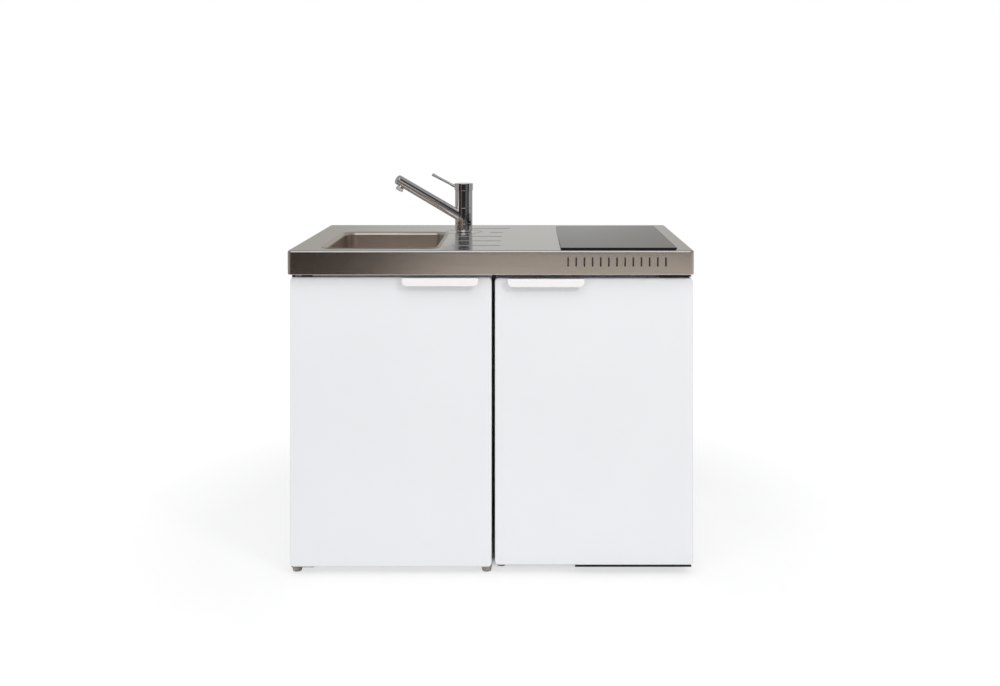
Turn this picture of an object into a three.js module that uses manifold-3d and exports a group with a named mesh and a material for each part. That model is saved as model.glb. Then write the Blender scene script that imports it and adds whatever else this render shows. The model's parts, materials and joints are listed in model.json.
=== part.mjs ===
// Kitchenette unit: a pressed steel worktop with sink, mixer tap and two-zone hob, on a cupboard and a fridge.
// Millimetres. X runs to the right, Y to the wall behind, Z up; the origin is on the floor under the middle.
import * as THREE from "three";
import { mergeVertices } from "three/addons/utils/BufferGeometryUtils.js";
import Module from "manifold-3d";

const wasm = await Module();
wasm.setup();

// ---------------------------------------------------------------- driving sizes

// Whole unit
const unitWidth = 1000;
const unitDepth = 600;
const worktopHeight = 805;
const gap = 0.3; // running and fitting clearance between neighbours

// Worktop pressing
const apronHeight = 60;
const worktopSheet = 1.2;
const topBend = 5;
const lowerBend = 3;
const cornerBend = 10;
const lipWidth = 18;

// Cooling slots in the apron
const slotCount = 13;
const slotPitch = 20;
const slotWidth = 4;
const slotHeight = 23;
const slotsFromRight = 190; // centre of the row, from the right end
const slotsBelowTop = 28;

// Sink bowl
const bowlFromLeft = 73;
const bowlFromFront = 43;
const bowlWidth = 295;
const bowlLength = 366;
const bowlDepth = 140;
const bowlCorner = 38;
const bowlRim = 8;
const bowlLand = 2;
const bowlDraft = THREE.MathUtils.degToRad(2.5);
const bowlFloorRadius = 18;
const bowlSheet = 1;
const bowlSteps = 6; // facets round each corner of the bowl

// Drainer grooves
const grooveCount = 5;
const groovePitch = 100;
const grooveRadius = 10;
const grooveDepth = 2.2;
const grooveFromBowl = 27;
const grooveEndFromLeft = 525;

// Waste, strainer and trap
const wasteHole = 45;
const wasteFlange = 56;
const wasteCupDepth = 38;
const tailRadius = 25;
const tailLength = 36;
const wasteWall = 2;
const basketDepth = 26;
const basketSheet = 1.2;
const strainerHoles = 8;
const pipeRadius = 20;
const pipeWall = 2.5;
const trapDrop = 42; // tail end down to the axis of the outlet
const trapCupRadius = 34;
const trapCupLength = 82;
const trapArm = 60; // bottle axis to the end of the side arm
const socketDepth = 16;
const wasteFromWall = 4;
const trapSides = 20;

// Hob
const hobWidth = 286;
const hobLength = 510;
const hobFromRight = 41;
const hobFromFront = 7;
const hobGlass = 4;
const hobGasket = 2;
const hobOverlap = 9; // how far the glass reaches past the casing all round
const hobCasingDepth = 48;
const casingSheet = 1;
const heaters = {
  hob_heater_front: { radius: 72, fromMiddle: -120 },
  hob_heater_rear: { radius: 90, fromMiddle: 115 },
};
const heaterHeight = 24;

// Mixer tap
const tapFromLeft = 410;
const tapFromFront = 414;
const tapRadius = 24.5;
const tapCore = 16;
const tapRingTop = 24.5;
const swivelTop = 68.7;
const tapBodyTop = 118;
const capRadius = 26;
const capHeight = 19.4;
const capWall = 1.2;
const capPivot = 112; // height of the lever's pivot above the worktop
const spoutAxisHeight = 38.5;
const spoutRootRadius = 15;
const spoutTipRadius = 13.5;
const spoutLength = 232;
const spoutBore = 8;
const spoutRise = THREE.MathUtils.degToRad(30.3);
const spoutTurn = THREE.MathUtils.degToRad(206.5);
const nozzleRadius = 8.6;
const nozzleLength = 15;
const nozzleFromTip = 22;
const aeratorRadius = 10.5;
const aeratorLength = 9;
const leverRadius = 4.2;
const leverLength = 72;
const leverRise = THREE.MathUtils.degToRad(28);
const leverExit = 129; // height where the lever leaves the cap
const tapRingBead = 50; // radius of the bead pressed round the tap
const shankLength = 42;
const stemReach = 10; // spindle tip above the lever's pivot

// Doors and handles
const leftDoorTopGap = 8.5; // apron down to the cupboard's door
const fridgeDoorTopGap = 10.7;
const doorSetBack = 20;
const doorCorner = 9;
const doorEdge = 3;
const doorSheet = 1.2;
const handleWidth = 188;
const handleHeight = 20;
const handleDepth = 18;
const handleWall = 3.5;
const handleCorner = 12;
const handleEdge = 3;
const handleFromEdge = 32;

// Cupboard
const cupboardFromLeft = 3;
const cupboardToFridge = 11;
const cupboardBottom = 20;
const cupboardFloorRise = 15;
const cupboardBackGap = 10; // carcass to the wall line
const panelSheet = 1.2;
const frontFlange = 40;
const rearFlange = 20;
const shelfTab = 15;
const trayLip = 28;
const backMargin = 70;
const railFoot = 7;
const shelfFold = 18;
const catchWidth = 44;
const leftDoorThickness = 20;
const leftDoorOverhang = 0.5; // the left door past the carcass
const doorToCarcass = 2;
const shelfHeight = 330;
const shelfDepth = 300;
const railHeight = 30;

// Fridge
const fridgeFromRight = 2;
const fridgeWidth = 486;
const fridgeBottom = 25;
const fridgeBackGap = 30;
const fridgeDoorWidth = 490;
const fridgeDoorThickness = 45;
const gasketDepth = 7;
const gasketWidth = 12;
const gasketInset = 14;
const fridgeSheet = 1;
const fridgeWall = 33;
const fridgeCeiling = 43;
const fridgeFloor = 50;
const fridgeRearWall = 55;
const linerWall = 2;
const linerFlange = 4;
const nicheDepth = 158;
const nicheHeight = 178;
const shelfRib = 8;
const glassShelf = 4;
const upperShelfHeight = 480;
const freezerHeight = 104;
const flapHeight = 84;
const freezerWall = 3;
const freezerSetBack = 143;
const thermostatDepth = 30;
const thermostatLength = 100;
const thermostatFromFront = 170;
const thermostatHeight = 58;
const thermostatOverShelf = 40;
const dykeDepth = 45;
const dykeClearance = 13;
const dykeWidth = 18;
const linerCorner = 14;
const nicheSide = 20;
const binDepth = 92;
const lowerBinRise = 35; // over the floor of the cold space
const lowerBinHeight = 95;
const upperBinHeight = 60;
const compressorRadius = 62;
const compressorHeight = 138;
const compressorPlateWidth = 88;
const compressorMountPitch = 68;
const condenserTube = 2.4;
const condenserRuns = 8;
const condenserPitch = 60;
const condenserWires = 5;
const condenserMargin = 48;
const condenserStandoff = 14;
const wireRadius = 0.8;
const bendSteps = 4;
const compressorFromLeft = 160;

// Hinges and feet
const pinRadius = 4;
const lowerRail = 280; // the rail under the fridge that carries its lower pin
const hingePlate = 3;
const lowerPlate = 2; // the cupboard's lower hinge, thin enough to hide behind the door's edge
const leftPivotFromEdge = 8;
const leftPivotFromBack = 11;
const rightPivotFromEdge = 12;
const rightPivotFromBack = 30;
const footTopRadius = 14.2;
const footBottomRadius = 11;
const studRadius = 4;
const studLength = 12;
const footInset = 12.4;
const cupboardFootFromFront = 51;
const fridgeFootFromFront = 84;
const rearFootInset = 25;
const pinReach = 14;
const hingeTab = 1.4;

// ---------------------------------------------------------------- places worked out from them

const left = -unitWidth / 2;
const right = unitWidth / 2;
const front = -unitDepth / 2;
const back = unitDepth / 2;
const top = worktopHeight;
const underside = top - apronHeight;
const doorFace = front + doorSetBack;
const leftDoorTop = underside - leftDoorTopGap;
const fridgeDoorTop = underside - fridgeDoorTopGap;

// The fridge keeps its width, and the cupboard takes the rest
const cupboardWidth = unitWidth - cupboardFromLeft - cupboardToFridge - fridgeWidth - fridgeFromRight;
const leftDoorWidth = cupboardWidth + leftDoorOverhang;
const cupboard = {
  x0: left + cupboardFromLeft,
  x1: left + cupboardFromLeft + cupboardWidth,
  y0: doorFace + leftDoorThickness + doorToCarcass,
  y1: back - cupboardBackGap,
  z0: cupboardBottom,
  z1: underside,
};
const fridge = {
  x0: right - fridgeFromRight - fridgeWidth,
  x1: right - fridgeFromRight,
  y0: doorFace + fridgeDoorThickness + gasketDepth,
  y1: back - fridgeBackGap,
  z0: fridgeBottom,
  z1: underside,
};
// The cold space, and the step in its floor that the compressor stands behind
const cold = {
  x0: fridge.x0 + fridgeWall,
  x1: fridge.x1 - fridgeWall,
  y0: fridge.y0,
  y1: fridge.y1 - fridgeRearWall,
  z0: fridge.z0 + fridgeFloor,
  z1: fridge.z1 - fridgeCeiling,
};
const niche = { y0: fridge.y1 - nicheDepth, z1: fridge.z0 + nicheHeight };
const step = { y0: niche.y0 - fridgeRearWall, z1: niche.z1 + fridgeRearWall - 8 };
const leftPivot = {
  x: cupboard.x0 + leftPivotFromEdge,
  y: doorFace + leftDoorThickness - leftPivotFromBack,
};
const rightPivot = {
  x: right - rightPivotFromEdge,
  y: doorFace + fridgeDoorThickness - rightPivotFromBack,
};
const bowl = {
  x: left + bowlFromLeft + bowlWidth / 2,
  y: front + bowlFromFront + bowlLength / 2,
  floor: top - bowlDepth,
};
const tap = { x: left + tapFromLeft, y: front + tapFromFront };
const hob = {
  x: right - hobFromRight - hobWidth / 2,
  y: front + hobFromFront + hobLength / 2,
};

// ---------------------------------------------------------------- finishes

function finish(color, roughness, metalness) {
  return new THREE.MeshStandardMaterial({ color, roughness, metalness });
}
const brushedSteel = finish(0xa3a19b, 0.38, 1);
const zincSteel = finish(0x9a9c9e, 0.5, 1);
const chrome = finish(0xc9c9cc, 0.08, 1);
const whiteEnamel = finish(0xeeeef1, 0.35, 0);
const whitePlastic = finish(0xf3f3f5, 0.4, 0);
const linerPlastic = finish(0xe9ecee, 0.45, 0);
const greyPlastic = finish(0x76726b, 0.6, 0);
const blackGlass = finish(0x0a0a0b, 0.08, 0);
const clearGlass = finish(0xb9d3cd, 0.08, 0);
const blackRubber = finish(0x161616, 0.85, 0);
const blackEnamel = finish(0x141415, 0.4, 0.2);
const foam = finish(0xd9c79a, 0.95, 0);
const ceramicFelt = finish(0xd6d2c8, 0.95, 0);

// ---------------------------------------------------------------- shaping tools

/** A closed geometry as a solid that can be joined and cut. */
function solid(geometry) {
  const bare = geometry.index ? geometry.toNonIndexed() : geometry.clone();
  bare.deleteAttribute("normal");
  bare.deleteAttribute("uv");
  const merged = mergeVertices(bare, 1e-4);
  const index = merged.index.array;
  const kept = [];
  for (let i = 0; i < index.length; i += 3) {
    const [a, b, c] = [index[i], index[i + 1], index[i + 2]];
    if (a !== b && b !== c && c !== a) kept.push(a, b, c);
  }
  return new wasm.Manifold(
    new wasm.Mesh({
      numProp: 3,
      vertProperties: merged.attributes.position.array,
      triVerts: new Uint32Array(kept),
    }),
  );
}

/** A solid as a geometry that a mesh can show. */
function geometryOf(made) {
  const { vertProperties, triVerts } = made.getMesh();
  const geometry = new THREE.BufferGeometry();
  geometry.setAttribute("position", new THREE.BufferAttribute(new Float32Array(vertProperties), 3));
  geometry.setIndex(new THREE.BufferAttribute(new Uint32Array(triVerts), 1));
  geometry.computeVertexNormals();
  return geometry;
}

function join(...parts) {
  return parts.reduce((whole, part) => whole.add(part));
}

function cut(whole, ...tools) {
  return tools.reduce((rest, tool) => rest.subtract(tool), whole);
}

/** A box between two corners. */
function block(x0, x1, y0, y1, z0, z1) {
  const geometry = new THREE.BoxGeometry(1, 1, 1);
  const corner = geometry.attributes.position;
  for (let i = 0; i < corner.count; i++) {
    corner.setXYZ(i, corner.getX(i) < 0 ? x0 : x1, corner.getY(i) < 0 ? y0 : y1, corner.getZ(i) < 0 ? z0 : z1);
  }
  return solid(geometry);
}

/** A box given as {x0, x1, y0, y1, z0, z1}, with each side moved out by grow. */
function boxOf(b, grow = 0) {
  return block(b.x0 - grow, b.x1 + grow, b.y0 - grow, b.y1 + grow, b.z0 - grow, b.z1 + grow);
}

/** An upright cylinder. */
function post(x, y, z0, z1, radius, sides = 20) {
  const geometry = new THREE.CylinderGeometry(radius, radius, z1 - z0, sides).rotateX(Math.PI / 2);
  return solid(geometry.translate(x, y, (z0 + z1) / 2));
}

/** A cylinder between two points. */
function rod(from, to, radius, sides = 16, endRadius = radius) {
  const axis = new THREE.Vector3().subVectors(to, from);
  const geometry = new THREE.CylinderGeometry(endRadius, radius, axis.length(), sides);
  geometry.translate(0, axis.length() / 2, 0);
  geometry.applyQuaternion(
    new THREE.Quaternion().setFromUnitVectors(new THREE.Vector3(0, 1, 0), axis.normalize()),
  );
  return solid(geometry.translate(from.x, from.y, from.z));
}

/** A body of revolution about Z from [radius, height] points, listed up the outside. */
function turned(profile, sides = 20) {
  const points = profile.map(([radius, height]) => new THREE.Vector2(radius, height));
  return solid(new THREE.LatheGeometry(points, sides).rotateX(Math.PI / 2));
}

/** The points of a rounded rectangle, anticlockwise, with the same count whatever its size. */
function roundedOutline({ w, h, r, cx = 0, cy = 0 }, steps) {
  const radii = Array.isArray(r) ? r : [r, r, r, r];
  const points = [];
  radii.forEach((radius, corner) => {
    const sx = corner === 0 || corner === 3 ? 1 : -1;
    const sy = corner < 2 ? 1 : -1;
    for (let i = 0; i <= steps; i++) {
      const angle = (corner + i / steps) * (Math.PI / 2);
      points.push([
        cx + sx * (w / 2 - radius) + radius * Math.cos(angle),
        cy + sy * (h / 2 - radius) + radius * Math.sin(angle),
      ]);
    }
  });
  return points;
}

/** A body through rounded rectangles {z, w, h, r, cx, cy}, listed upwards. */
function loft(sections, steps = 3) {
  const rings = sections.map((section) => roundedOutline(section, steps));
  const count = rings[0].length;
  const positions = rings.flatMap((ring, k) => ring.flatMap(([x, y]) => [x, y, sections[k].z]));
  const index = [];
  for (let k = 0; k + 1 < rings.length; k++) {
    for (let i = 0; i < count; i++) {
      const a = k * count + i;
      const b = k * count + ((i + 1) % count);
      index.push(a, b, b + count, a, b + count, a + count);
    }
  }
  const last = (rings.length - 1) * count;
  for (let i = 1; i + 1 < count; i++) {
    index.push(0, i + 1, i, last, last + i, last + i + 1);
  }
  const geometry = new THREE.BufferGeometry();
  geometry.setAttribute("position", new THREE.Float32BufferAttribute(positions, 3));
  geometry.setIndex(index);
  return geometry;
}

/** The sections of a slab that stands on z0, with its upper edge, and if asked its lower one, rounded. */
function slabSections({ w, h, r, cx = 0, cy = 0, z0, z1, edge, lowerEdge = 0, arc = 2 }) {
  const inset = (amount, z) => ({
    z,
    w: w - 2 * amount,
    h: h - 2 * amount,
    r: Array.isArray(r) ? r.map((one) => Math.max(one - amount, 0.4)) : Math.max(r - amount, 0.4),
    cx,
    cy,
  });
  const sections = [];
  if (lowerEdge > 0) {
    for (let i = 0; i < arc; i++) {
      const angle = (i / arc) * (Math.PI / 2);
      sections.push(inset(lowerEdge * (1 - Math.sin(angle)), z0 + lowerEdge * (1 - Math.cos(angle))));
    }
  }
  sections.push(inset(0, z0 + lowerEdge));
  for (let i = 0; i <= arc; i++) {
    const angle = (i / arc) * (Math.PI / 2);
    sections.push(inset(edge * (1 - Math.cos(angle)), z1 - edge + edge * Math.sin(angle)));
  }
  return sections;
}

/** A slab whose thickness runs forwards: w along X, h along Z, from y = back to y = face. */
function standingSlab({ w, h, r, cx, cz, rear, face, edge, lowerEdge = 0, arc = 2 }, steps = 3) {
  const sections = slabSections({ w, h, r, cx, cy: cz, z0: -rear, z1: -face, edge, lowerEdge, arc });
  return solid(loft(sections, steps).rotateX(Math.PI / 2));
}

/** A round tube through points that lie in the plane square to normal. */
function tube(points, radius, sides, normal) {
  const positions = [];
  points.forEach((point, i) => {
    const before = points[Math.max(i - 1, 0)];
    const after = points[Math.min(i + 1, points.length - 1)];
    const entering = new THREE.Vector3().subVectors(i ? point : after, i ? before : point).normalize();
    const leaving = new THREE.Vector3().subVectors(i + 1 < points.length ? after : point,
      i + 1 < points.length ? point : before).normalize();
    const along = new THREE.Vector3().addVectors(entering, leaving).normalize();
    const across = new THREE.Vector3().crossVectors(normal, along).multiplyScalar(radius / along.dot(entering));
    for (let j = 0; j < sides; j++) {
      const angle = (2 * Math.PI * j) / sides;
      const vertex = point.clone()
        .addScaledVector(across, Math.cos(angle))
        .addScaledVector(normal, -radius * Math.sin(angle));
      positions.push(vertex.x, vertex.y, vertex.z);
    }
  });
  const index = [];
  for (let k = 0; k + 1 < points.length; k++) {
    for (let j = 0; j < sides; j++) {
      const a = k * sides + j;
      const b = k * sides + ((j + 1) % sides);
      index.push(a, b + sides, b, a, a + sides, b + sides);
    }
  }
  const last = (points.length - 1) * sides;
  for (let j = 1; j + 1 < sides; j++) {
    index.push(0, j, j + 1, last, last + j + 1, last + j);
  }
  const geometry = new THREE.BufferGeometry();
  geometry.setAttribute("position", new THREE.Float32BufferAttribute(positions, 3));
  geometry.setIndex(index);
  return solid(geometry);
}

const unit = new THREE.Group();

/** Adds one named piece to the unit or to a group inside it. */
function add(name, shape, material, parent = unit) {
  const mesh = new THREE.Mesh(shape.isBufferGeometry ? shape : geometryOf(shape), material);
  mesh.name = name;
  parent.add(mesh);
  return mesh;
}

// ---------------------------------------------------------------- worktop

/** The pressed top with its folded apron and lips, before anything is cut in it. */
function worktopShell() {
  const outer = slabSections({
    w: unitWidth, h: unitDepth, r: cornerBend, z0: underside, z1: top, edge: topBend, lowerEdge: lowerBend,
  });
  const inner = slabSections({
    w: unitWidth - 2 * worktopSheet,
    h: unitDepth - 2 * worktopSheet,
    r: cornerBend - worktopSheet,
    z0: underside + worktopSheet,
    z1: top - worktopSheet,
    edge: topBend - worktopSheet,
    lowerEdge: lowerBend - worktopSheet,
  });
  const mouth = [underside - 1, underside + 2 * worktopSheet].map((z) => ({
    z, w: unitWidth - 2 * lipWidth, h: unitDepth - 2 * lipWidth, r: 4,
  }));
  const pressed = pressings(0);
  const relief = pressings(worktopSheet);
  return cut(solid(loft(outer)), cut(solid(loft(inner)), ...relief), solid(loft(mouth)), ...pressed);
}

/** The drainer grooves and the bead round the tap, fatter by grow on the underside of the sheet. */
function pressings(grow) {
  const axisHeight = top + grooveRadius - grooveDepth;
  const from = left + bowlFromLeft + bowlWidth + grooveFromBowl;
  const grooves = Array.from({ length: grooveCount }, (_, i) => {
    const y = front + (i + 1) * groovePitch;
    const nearTap = Math.abs(y - tap.y) < tapRingBead + 2 * grooveRadius;
    const x0 = nearTap ? tap.x + tapRingBead + 2 * grooveRadius : from;
    const x1 = left + grooveEndFromLeft + (i === grooveCount - 1 ? 2 * grooveRadius : 0);
    const capsule = new THREE.CapsuleGeometry(grooveRadius + grow, x1 - x0 - 2 * grooveRadius, 2, 12);
    return solid(capsule.rotateZ(Math.PI / 2).translate((x0 + x1) / 2, y, axisHeight));
  });
  const beadRadius = grooveRadius * 0.6;
  const bead = new THREE.TorusGeometry(tapRingBead, beadRadius + grow, 8, 20);
  bead.translate(tap.x, tap.y, top + beadRadius - grooveDepth / 2);
  return [...grooves, solid(bead)];
}

function apronSlots() {
  const end = slotWidth / 2;
  return Array.from({ length: slotCount }, (_, i) => {
    const x = right - slotsFromRight + (i - (slotCount - 1) / 2) * slotPitch;
    const outline = new THREE.Shape();
    outline.absarc(0, slotHeight / 2 - end, end, 0, Math.PI, false);
    outline.absarc(0, end - slotHeight / 2, end, Math.PI, 2 * Math.PI, false);
    const geometry = new THREE.ExtrudeGeometry(outline, {
      depth: 4 * worktopSheet, bevelEnabled: false, curveSegments: 2,
    });
    return solid(geometry.rotateX(Math.PI / 2).translate(x, front + 3 * worktopSheet, top - slotsBelowTop));
  });
}

function buildWorktop() {
  const bowlHole = [-4, 2].map((dz) => ({
    z: top + dz * worktopSheet,
    w: bowlWidth + 2 * (bowlLand + gap),
    h: bowlLength + 2 * (bowlLand + gap),
    r: bowlCorner + bowlLand + gap,
    cx: bowl.x,
    cy: bowl.y,
  }));
  const hobHole = block(
    hob.x - hobWidth / 2 + hobOverlap - 1, hob.x + hobWidth / 2 - hobOverlap + 1,
    hob.y - hobLength / 2 + hobOverlap - 1, hob.y + hobLength / 2 - hobOverlap + 1,
    top - 4 * worktopSheet, top + worktopSheet,
  );
  const tapHole = post(tap.x, tap.y, top - 4 * worktopSheet, top + worktopSheet, tapCore + 2 * gap);
  const shell = cut(worktopShell(), solid(loft(bowlHole, bowlSteps)), hobHole, tapHole, ...apronSlots());
  add("worktop", shell, brushedSteel);
}

// ---------------------------------------------------------------- sink

/** Sections of the bowl's skin, listed upwards; skin is 0 inside and the sheet's thickness outside. */
function bowlSections(skin) {
  const section = (u, z) => ({
    z, w: bowlWidth + 2 * u, h: bowlLength + 2 * u, r: bowlCorner + u, cx: bowl.x, cy: bowl.y,
  });
  const wallTop = top - bowlRim;
  const wallBottom = bowl.floor + bowlFloorRadius;
  const foot = -bowlRim - (wallTop - wallBottom) * Math.tan(bowlDraft);
  const sections = [];
  for (let i = 3; i >= 0; i--) {
    const angle = (i / 3) * (Math.PI / 2);
    const radius = bowlFloorRadius + skin;
    sections.push(section(foot - bowlFloorRadius + radius * Math.cos(angle), wallBottom - radius * Math.sin(angle)));
  }
  for (let i = 0; i <= 3; i++) {
    const angle = (i / 3) * (Math.PI / 2);
    const radius = bowlRim - skin;
    sections.push(section(-radius * Math.cos(angle), wallTop + radius * Math.sin(angle)));
  }
  return sections;
}

function buildBowl() {
  const lip = {
    w: bowlWidth + 2 * bowlLand, h: bowlLength + 2 * bowlLand, r: bowlCorner + bowlLand, cx: bowl.x, cy: bowl.y,
  };
  const outside = bowlSections(bowlSheet);
  const flat = [{ ...lip, z: top - bowlSheet }, { ...lip, z: top }];
  const inside = bowlSections(0);
  const above = { ...inside.at(-1), z: top + 1 };
  const shell = cut(
    join(solid(loft(outside, bowlSteps)), solid(loft(flat, bowlSteps))),
    solid(loft([...inside, above], bowlSteps)),
    post(bowl.x, bowl.y, bowl.floor - 5, bowl.floor + 5, wasteHole, 32),
  );
  add("sink_bowl", shell, brushedSteel);
}

/** The waste: a flanged cup through the bowl's floor with a tail for the trap, and its lift-out strainer. */
function buildWaste() {
  const place = new THREE.Group();
  place.position.set(bowl.x, bowl.y, bowl.floor);
  unit.add(place);
  const cup = wasteHole - 1;
  const bore = tailRadius - wasteWall;
  const shoulder = -wasteCupDepth - wasteWall;
  const lipTop = 1.6;
  const body = turned([
    [bore, shoulder - tailLength],
    [tailRadius, shoulder - tailLength],
    [tailRadius, shoulder - wasteWall],
    [cup - 3, shoulder],
    [cup, 0],
    [wasteFlange, 0],
    [wasteFlange, lipTop / 2],
    [wasteFlange - 3, lipTop],
    [cup, lipTop],
    [cup - wasteWall, 0],
    [cup - wasteWall - 3, -wasteCupDepth],
    [bore, -wasteCupDepth - wasteWall],
    [bore, shoulder - tailLength],
  ]);
  add("waste_body", body, brushedSteel, place);

  const rim = cup + 1;
  const basketRadius = cup - wasteWall - 4;
  const sieve = turned([
    [0, -basketDepth],
    [basketRadius - 8, -basketDepth],
    [basketRadius - 2, -basketDepth + 4],
    [basketRadius, lipTop + gap],
    [rim, lipTop + gap],
    [rim, lipTop + gap + basketSheet],
    [basketRadius, lipTop + gap + basketSheet],
    [basketRadius - basketSheet, 0],
    [basketRadius - basketSheet - 2, -basketDepth + 5],
    [basketRadius - 9, -basketDepth + basketSheet],
    [5, -basketDepth + basketSheet],
    [4, -10],
    [8, -4],
    [8, 0],
    [5, 2],
    [0, 2],
  ], 16);
  const holes = Array.from({ length: strainerHoles }, (_, i) => {
    const angle = (i / strainerHoles) * 2 * Math.PI;
    const radius = basketRadius / 2;
    return post(radius * Math.cos(angle), radius * Math.sin(angle), -basketDepth - 4, -basketDepth + 6, 3.2, 6);
  });
  add("strainer_basket", cut(sieve, ...holes), brushedSteel, place);
}

/** The bottle trap under the tail: body with dip pipe and side arm, screw-off cup, and pipe to the wall. */
function buildTrap() {
  const tailEnd = bowl.floor - wasteCupDepth - wasteWall - tailLength;
  const place = new THREE.Group();
  place.position.set(bowl.x, bowl.y, tailEnd);
  unit.add(place);
  const thread = trapCupRadius - pipeWall - gap;
  const chamber = thread - pipeWall;
  const dip = pipeRadius * 0.75;
  const headFoot = -trapDrop - pipeRadius - 14;
  const headTop = -trapDrop + pipeRadius;
  const cupTop = headFoot + 10;
  const cupBottom = cupTop - trapCupLength;
  const dipEnd = cupBottom + 20;
  const head = turned([
    [chamber, headFoot],
    [thread, headFoot],
    [thread, cupTop],
    [trapCupRadius, cupTop],
    [trapCupRadius, headTop - 4],
    [tailRadius + 6, headTop],
    [tailRadius + 6, socketDepth],
    [tailRadius + gap, socketDepth],
    [tailRadius + gap, -gap],
    [dip - pipeWall, -gap],
    [dip - pipeWall, dipEnd],
    [dip, dipEnd],
    [dip, headTop - 2],
    [chamber, headTop - 2],
    [chamber, headFoot],
  ], trapSides);
  const axis = (y) => new THREE.Vector3(0, y, -trapDrop);
  const arm = cut(
    rod(axis(chamber - 8), axis(trapArm), pipeRadius, trapSides),
    post(0, 0, -trapDrop - 2 * pipeRadius, -trapDrop + 2 * pipeRadius, chamber + 1, trapSides),
  );
  const armBore = rod(axis(dip + 1), axis(trapArm + 1), pipeRadius - pipeWall, trapSides);
  add("trap_body", cut(join(head, arm), armBore), whitePlastic, place);

  const cupWall = thread + gap;
  const cup = turned([
    [0, cupBottom],
    [trapCupRadius - 10, cupBottom],
    [trapCupRadius - 2, cupBottom + 6],
    [trapCupRadius, cupBottom + 14],
    [trapCupRadius, cupTop - gap],
    [cupWall, cupTop - gap],
    [cupWall, cupBottom + 15],
    [cupWall - 3, cupBottom + 8],
    [trapCupRadius - 11, cupBottom + pipeWall],
    [0, cupBottom + pipeWall],
  ], trapSides);
  add("trap_cup", cup, whitePlastic, place);

  const end = back - wasteFromWall - bowl.y;
  const nut = cut(
    rod(axis(trapArm - 14), axis(trapArm + 10), pipeRadius + 7, 12),
    rod(axis(trapArm - 15), axis(trapArm + gap), pipeRadius + gap, trapSides),
  );
  const pipe = rod(axis(trapArm + gap), axis(end), pipeRadius, trapSides);
  const pipeBore = rod(axis(trapArm), axis(end + 1), pipeRadius - pipeWall, trapSides);
  add("waste_outlet_pipe", cut(join(nut, pipe), pipeBore), whitePlastic, place);
}

// ---------------------------------------------------------------- hob

function buildHob() {
  const glassBottom = top + hobGasket;
  const glass = slabSections({
    w: hobWidth, h: hobLength, r: 4, cx: hob.x, cy: hob.y, z0: glassBottom, z1: glassBottom + hobGlass, edge: 1.2,
  });
  add("hob_glass", loft(glass), blackGlass);

  const sealOuter = { x: hobWidth / 2 - 2, y: hobLength / 2 - 2 };
  const sealInner = { x: hobWidth / 2 - hobOverlap + 2, y: hobLength / 2 - hobOverlap + 2 };
  const ring = (size, z0, z1) => block(hob.x - size.x, hob.x + size.x, hob.y - size.y, hob.y + size.y, z0, z1);
  add("hob_gasket", cut(ring(sealOuter, top, glassBottom), ring(sealInner, top - 1, glassBottom + 1)), blackRubber);

  const casing = { x: hobWidth / 2 - hobOverlap, y: hobLength / 2 - hobOverlap };
  const room = { x: casing.x - casingSheet, y: casing.y - casingSheet };
  const floor = glassBottom - hobCasingDepth;
  const tray = cut(ring(casing, floor, glassBottom), ring(room, floor + casingSheet, glassBottom + 1));
  add("hob_casing", tray, zincSteel);

  const rimTop = glassBottom - gap;
  const dish = rimTop - heaterHeight;
  for (const [name, { radius, fromMiddle }] of Object.entries(heaters)) {
    const heater = turned([
      [0, floor + casingSheet],
      [14, floor + casingSheet],
      [14, dish],
      [radius - 5, dish],
      [radius, dish + 5],
      [radius, rimTop],
      [radius - 9, rimTop],
      [radius - 10, rimTop - 7],
      [0, rimTop - 7],
    ], 16);
    add(name, heater, ceramicFelt).position.set(hob.x, hob.y + fromMiddle, 0);
  }
}

// ---------------------------------------------------------------- mixer tap

/** A body of revolution with its foot at a point and its axis along a direction. */
function turnedAlong(profile, sides, at, direction) {
  const points = profile.map(([radius, height]) => new THREE.Vector2(radius, height));
  const geometry = new THREE.LatheGeometry(points, sides);
  geometry.applyQuaternion(new THREE.Quaternion().setFromUnitVectors(new THREE.Vector3(0, 1, 0), direction));
  return solid(geometry.translate(at.x, at.y, at.z));
}

function buildTap() {
  const place = new THREE.Group();
  place.position.set(tap.x, tap.y, top);
  unit.add(place);
  const bore = tapCore + 2 * gap;

  add("tap_base_ring", turned([
    [bore, 0],
    [tapRadius - 4, 0],
    [tapRadius - 1.5, 2],
    [tapRadius, 6],
    [tapRadius, tapRingTop - 1],
    [tapRadius - 1, tapRingTop],
    [bore, tapRingTop],
    [bore, 0],
  ]), chrome, place);

  add("tap_body", turned([
    [0, -shankLength],
    [tapCore - 1.5, -shankLength],
    [tapCore, -shankLength + 1.5],
    [tapCore, swivelTop],
    [tapRadius - 1, swivelTop],
    [tapRadius, swivelTop + 1],
    [tapRadius, tapBodyTop - 1],
    [tapRadius - 1, tapBodyTop],
    [0, tapBodyTop],
  ]), chrome, place);

  const nutTop = -worktopSheet;
  add("tap_backnut", turned([
    [bore, nutTop - 12],
    [tapRadius + 3, nutTop - 12],
    [tapRadius + 3, nutTop - 3],
    [tapRadius + 7, nutTop - 3],
    [tapRadius + 7, nutTop],
    [bore, nutTop],
    [bore, nutTop - 12],
  ], 12), zincSteel, place);
  buildSpout(place);
  buildLever(place);
}

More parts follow.
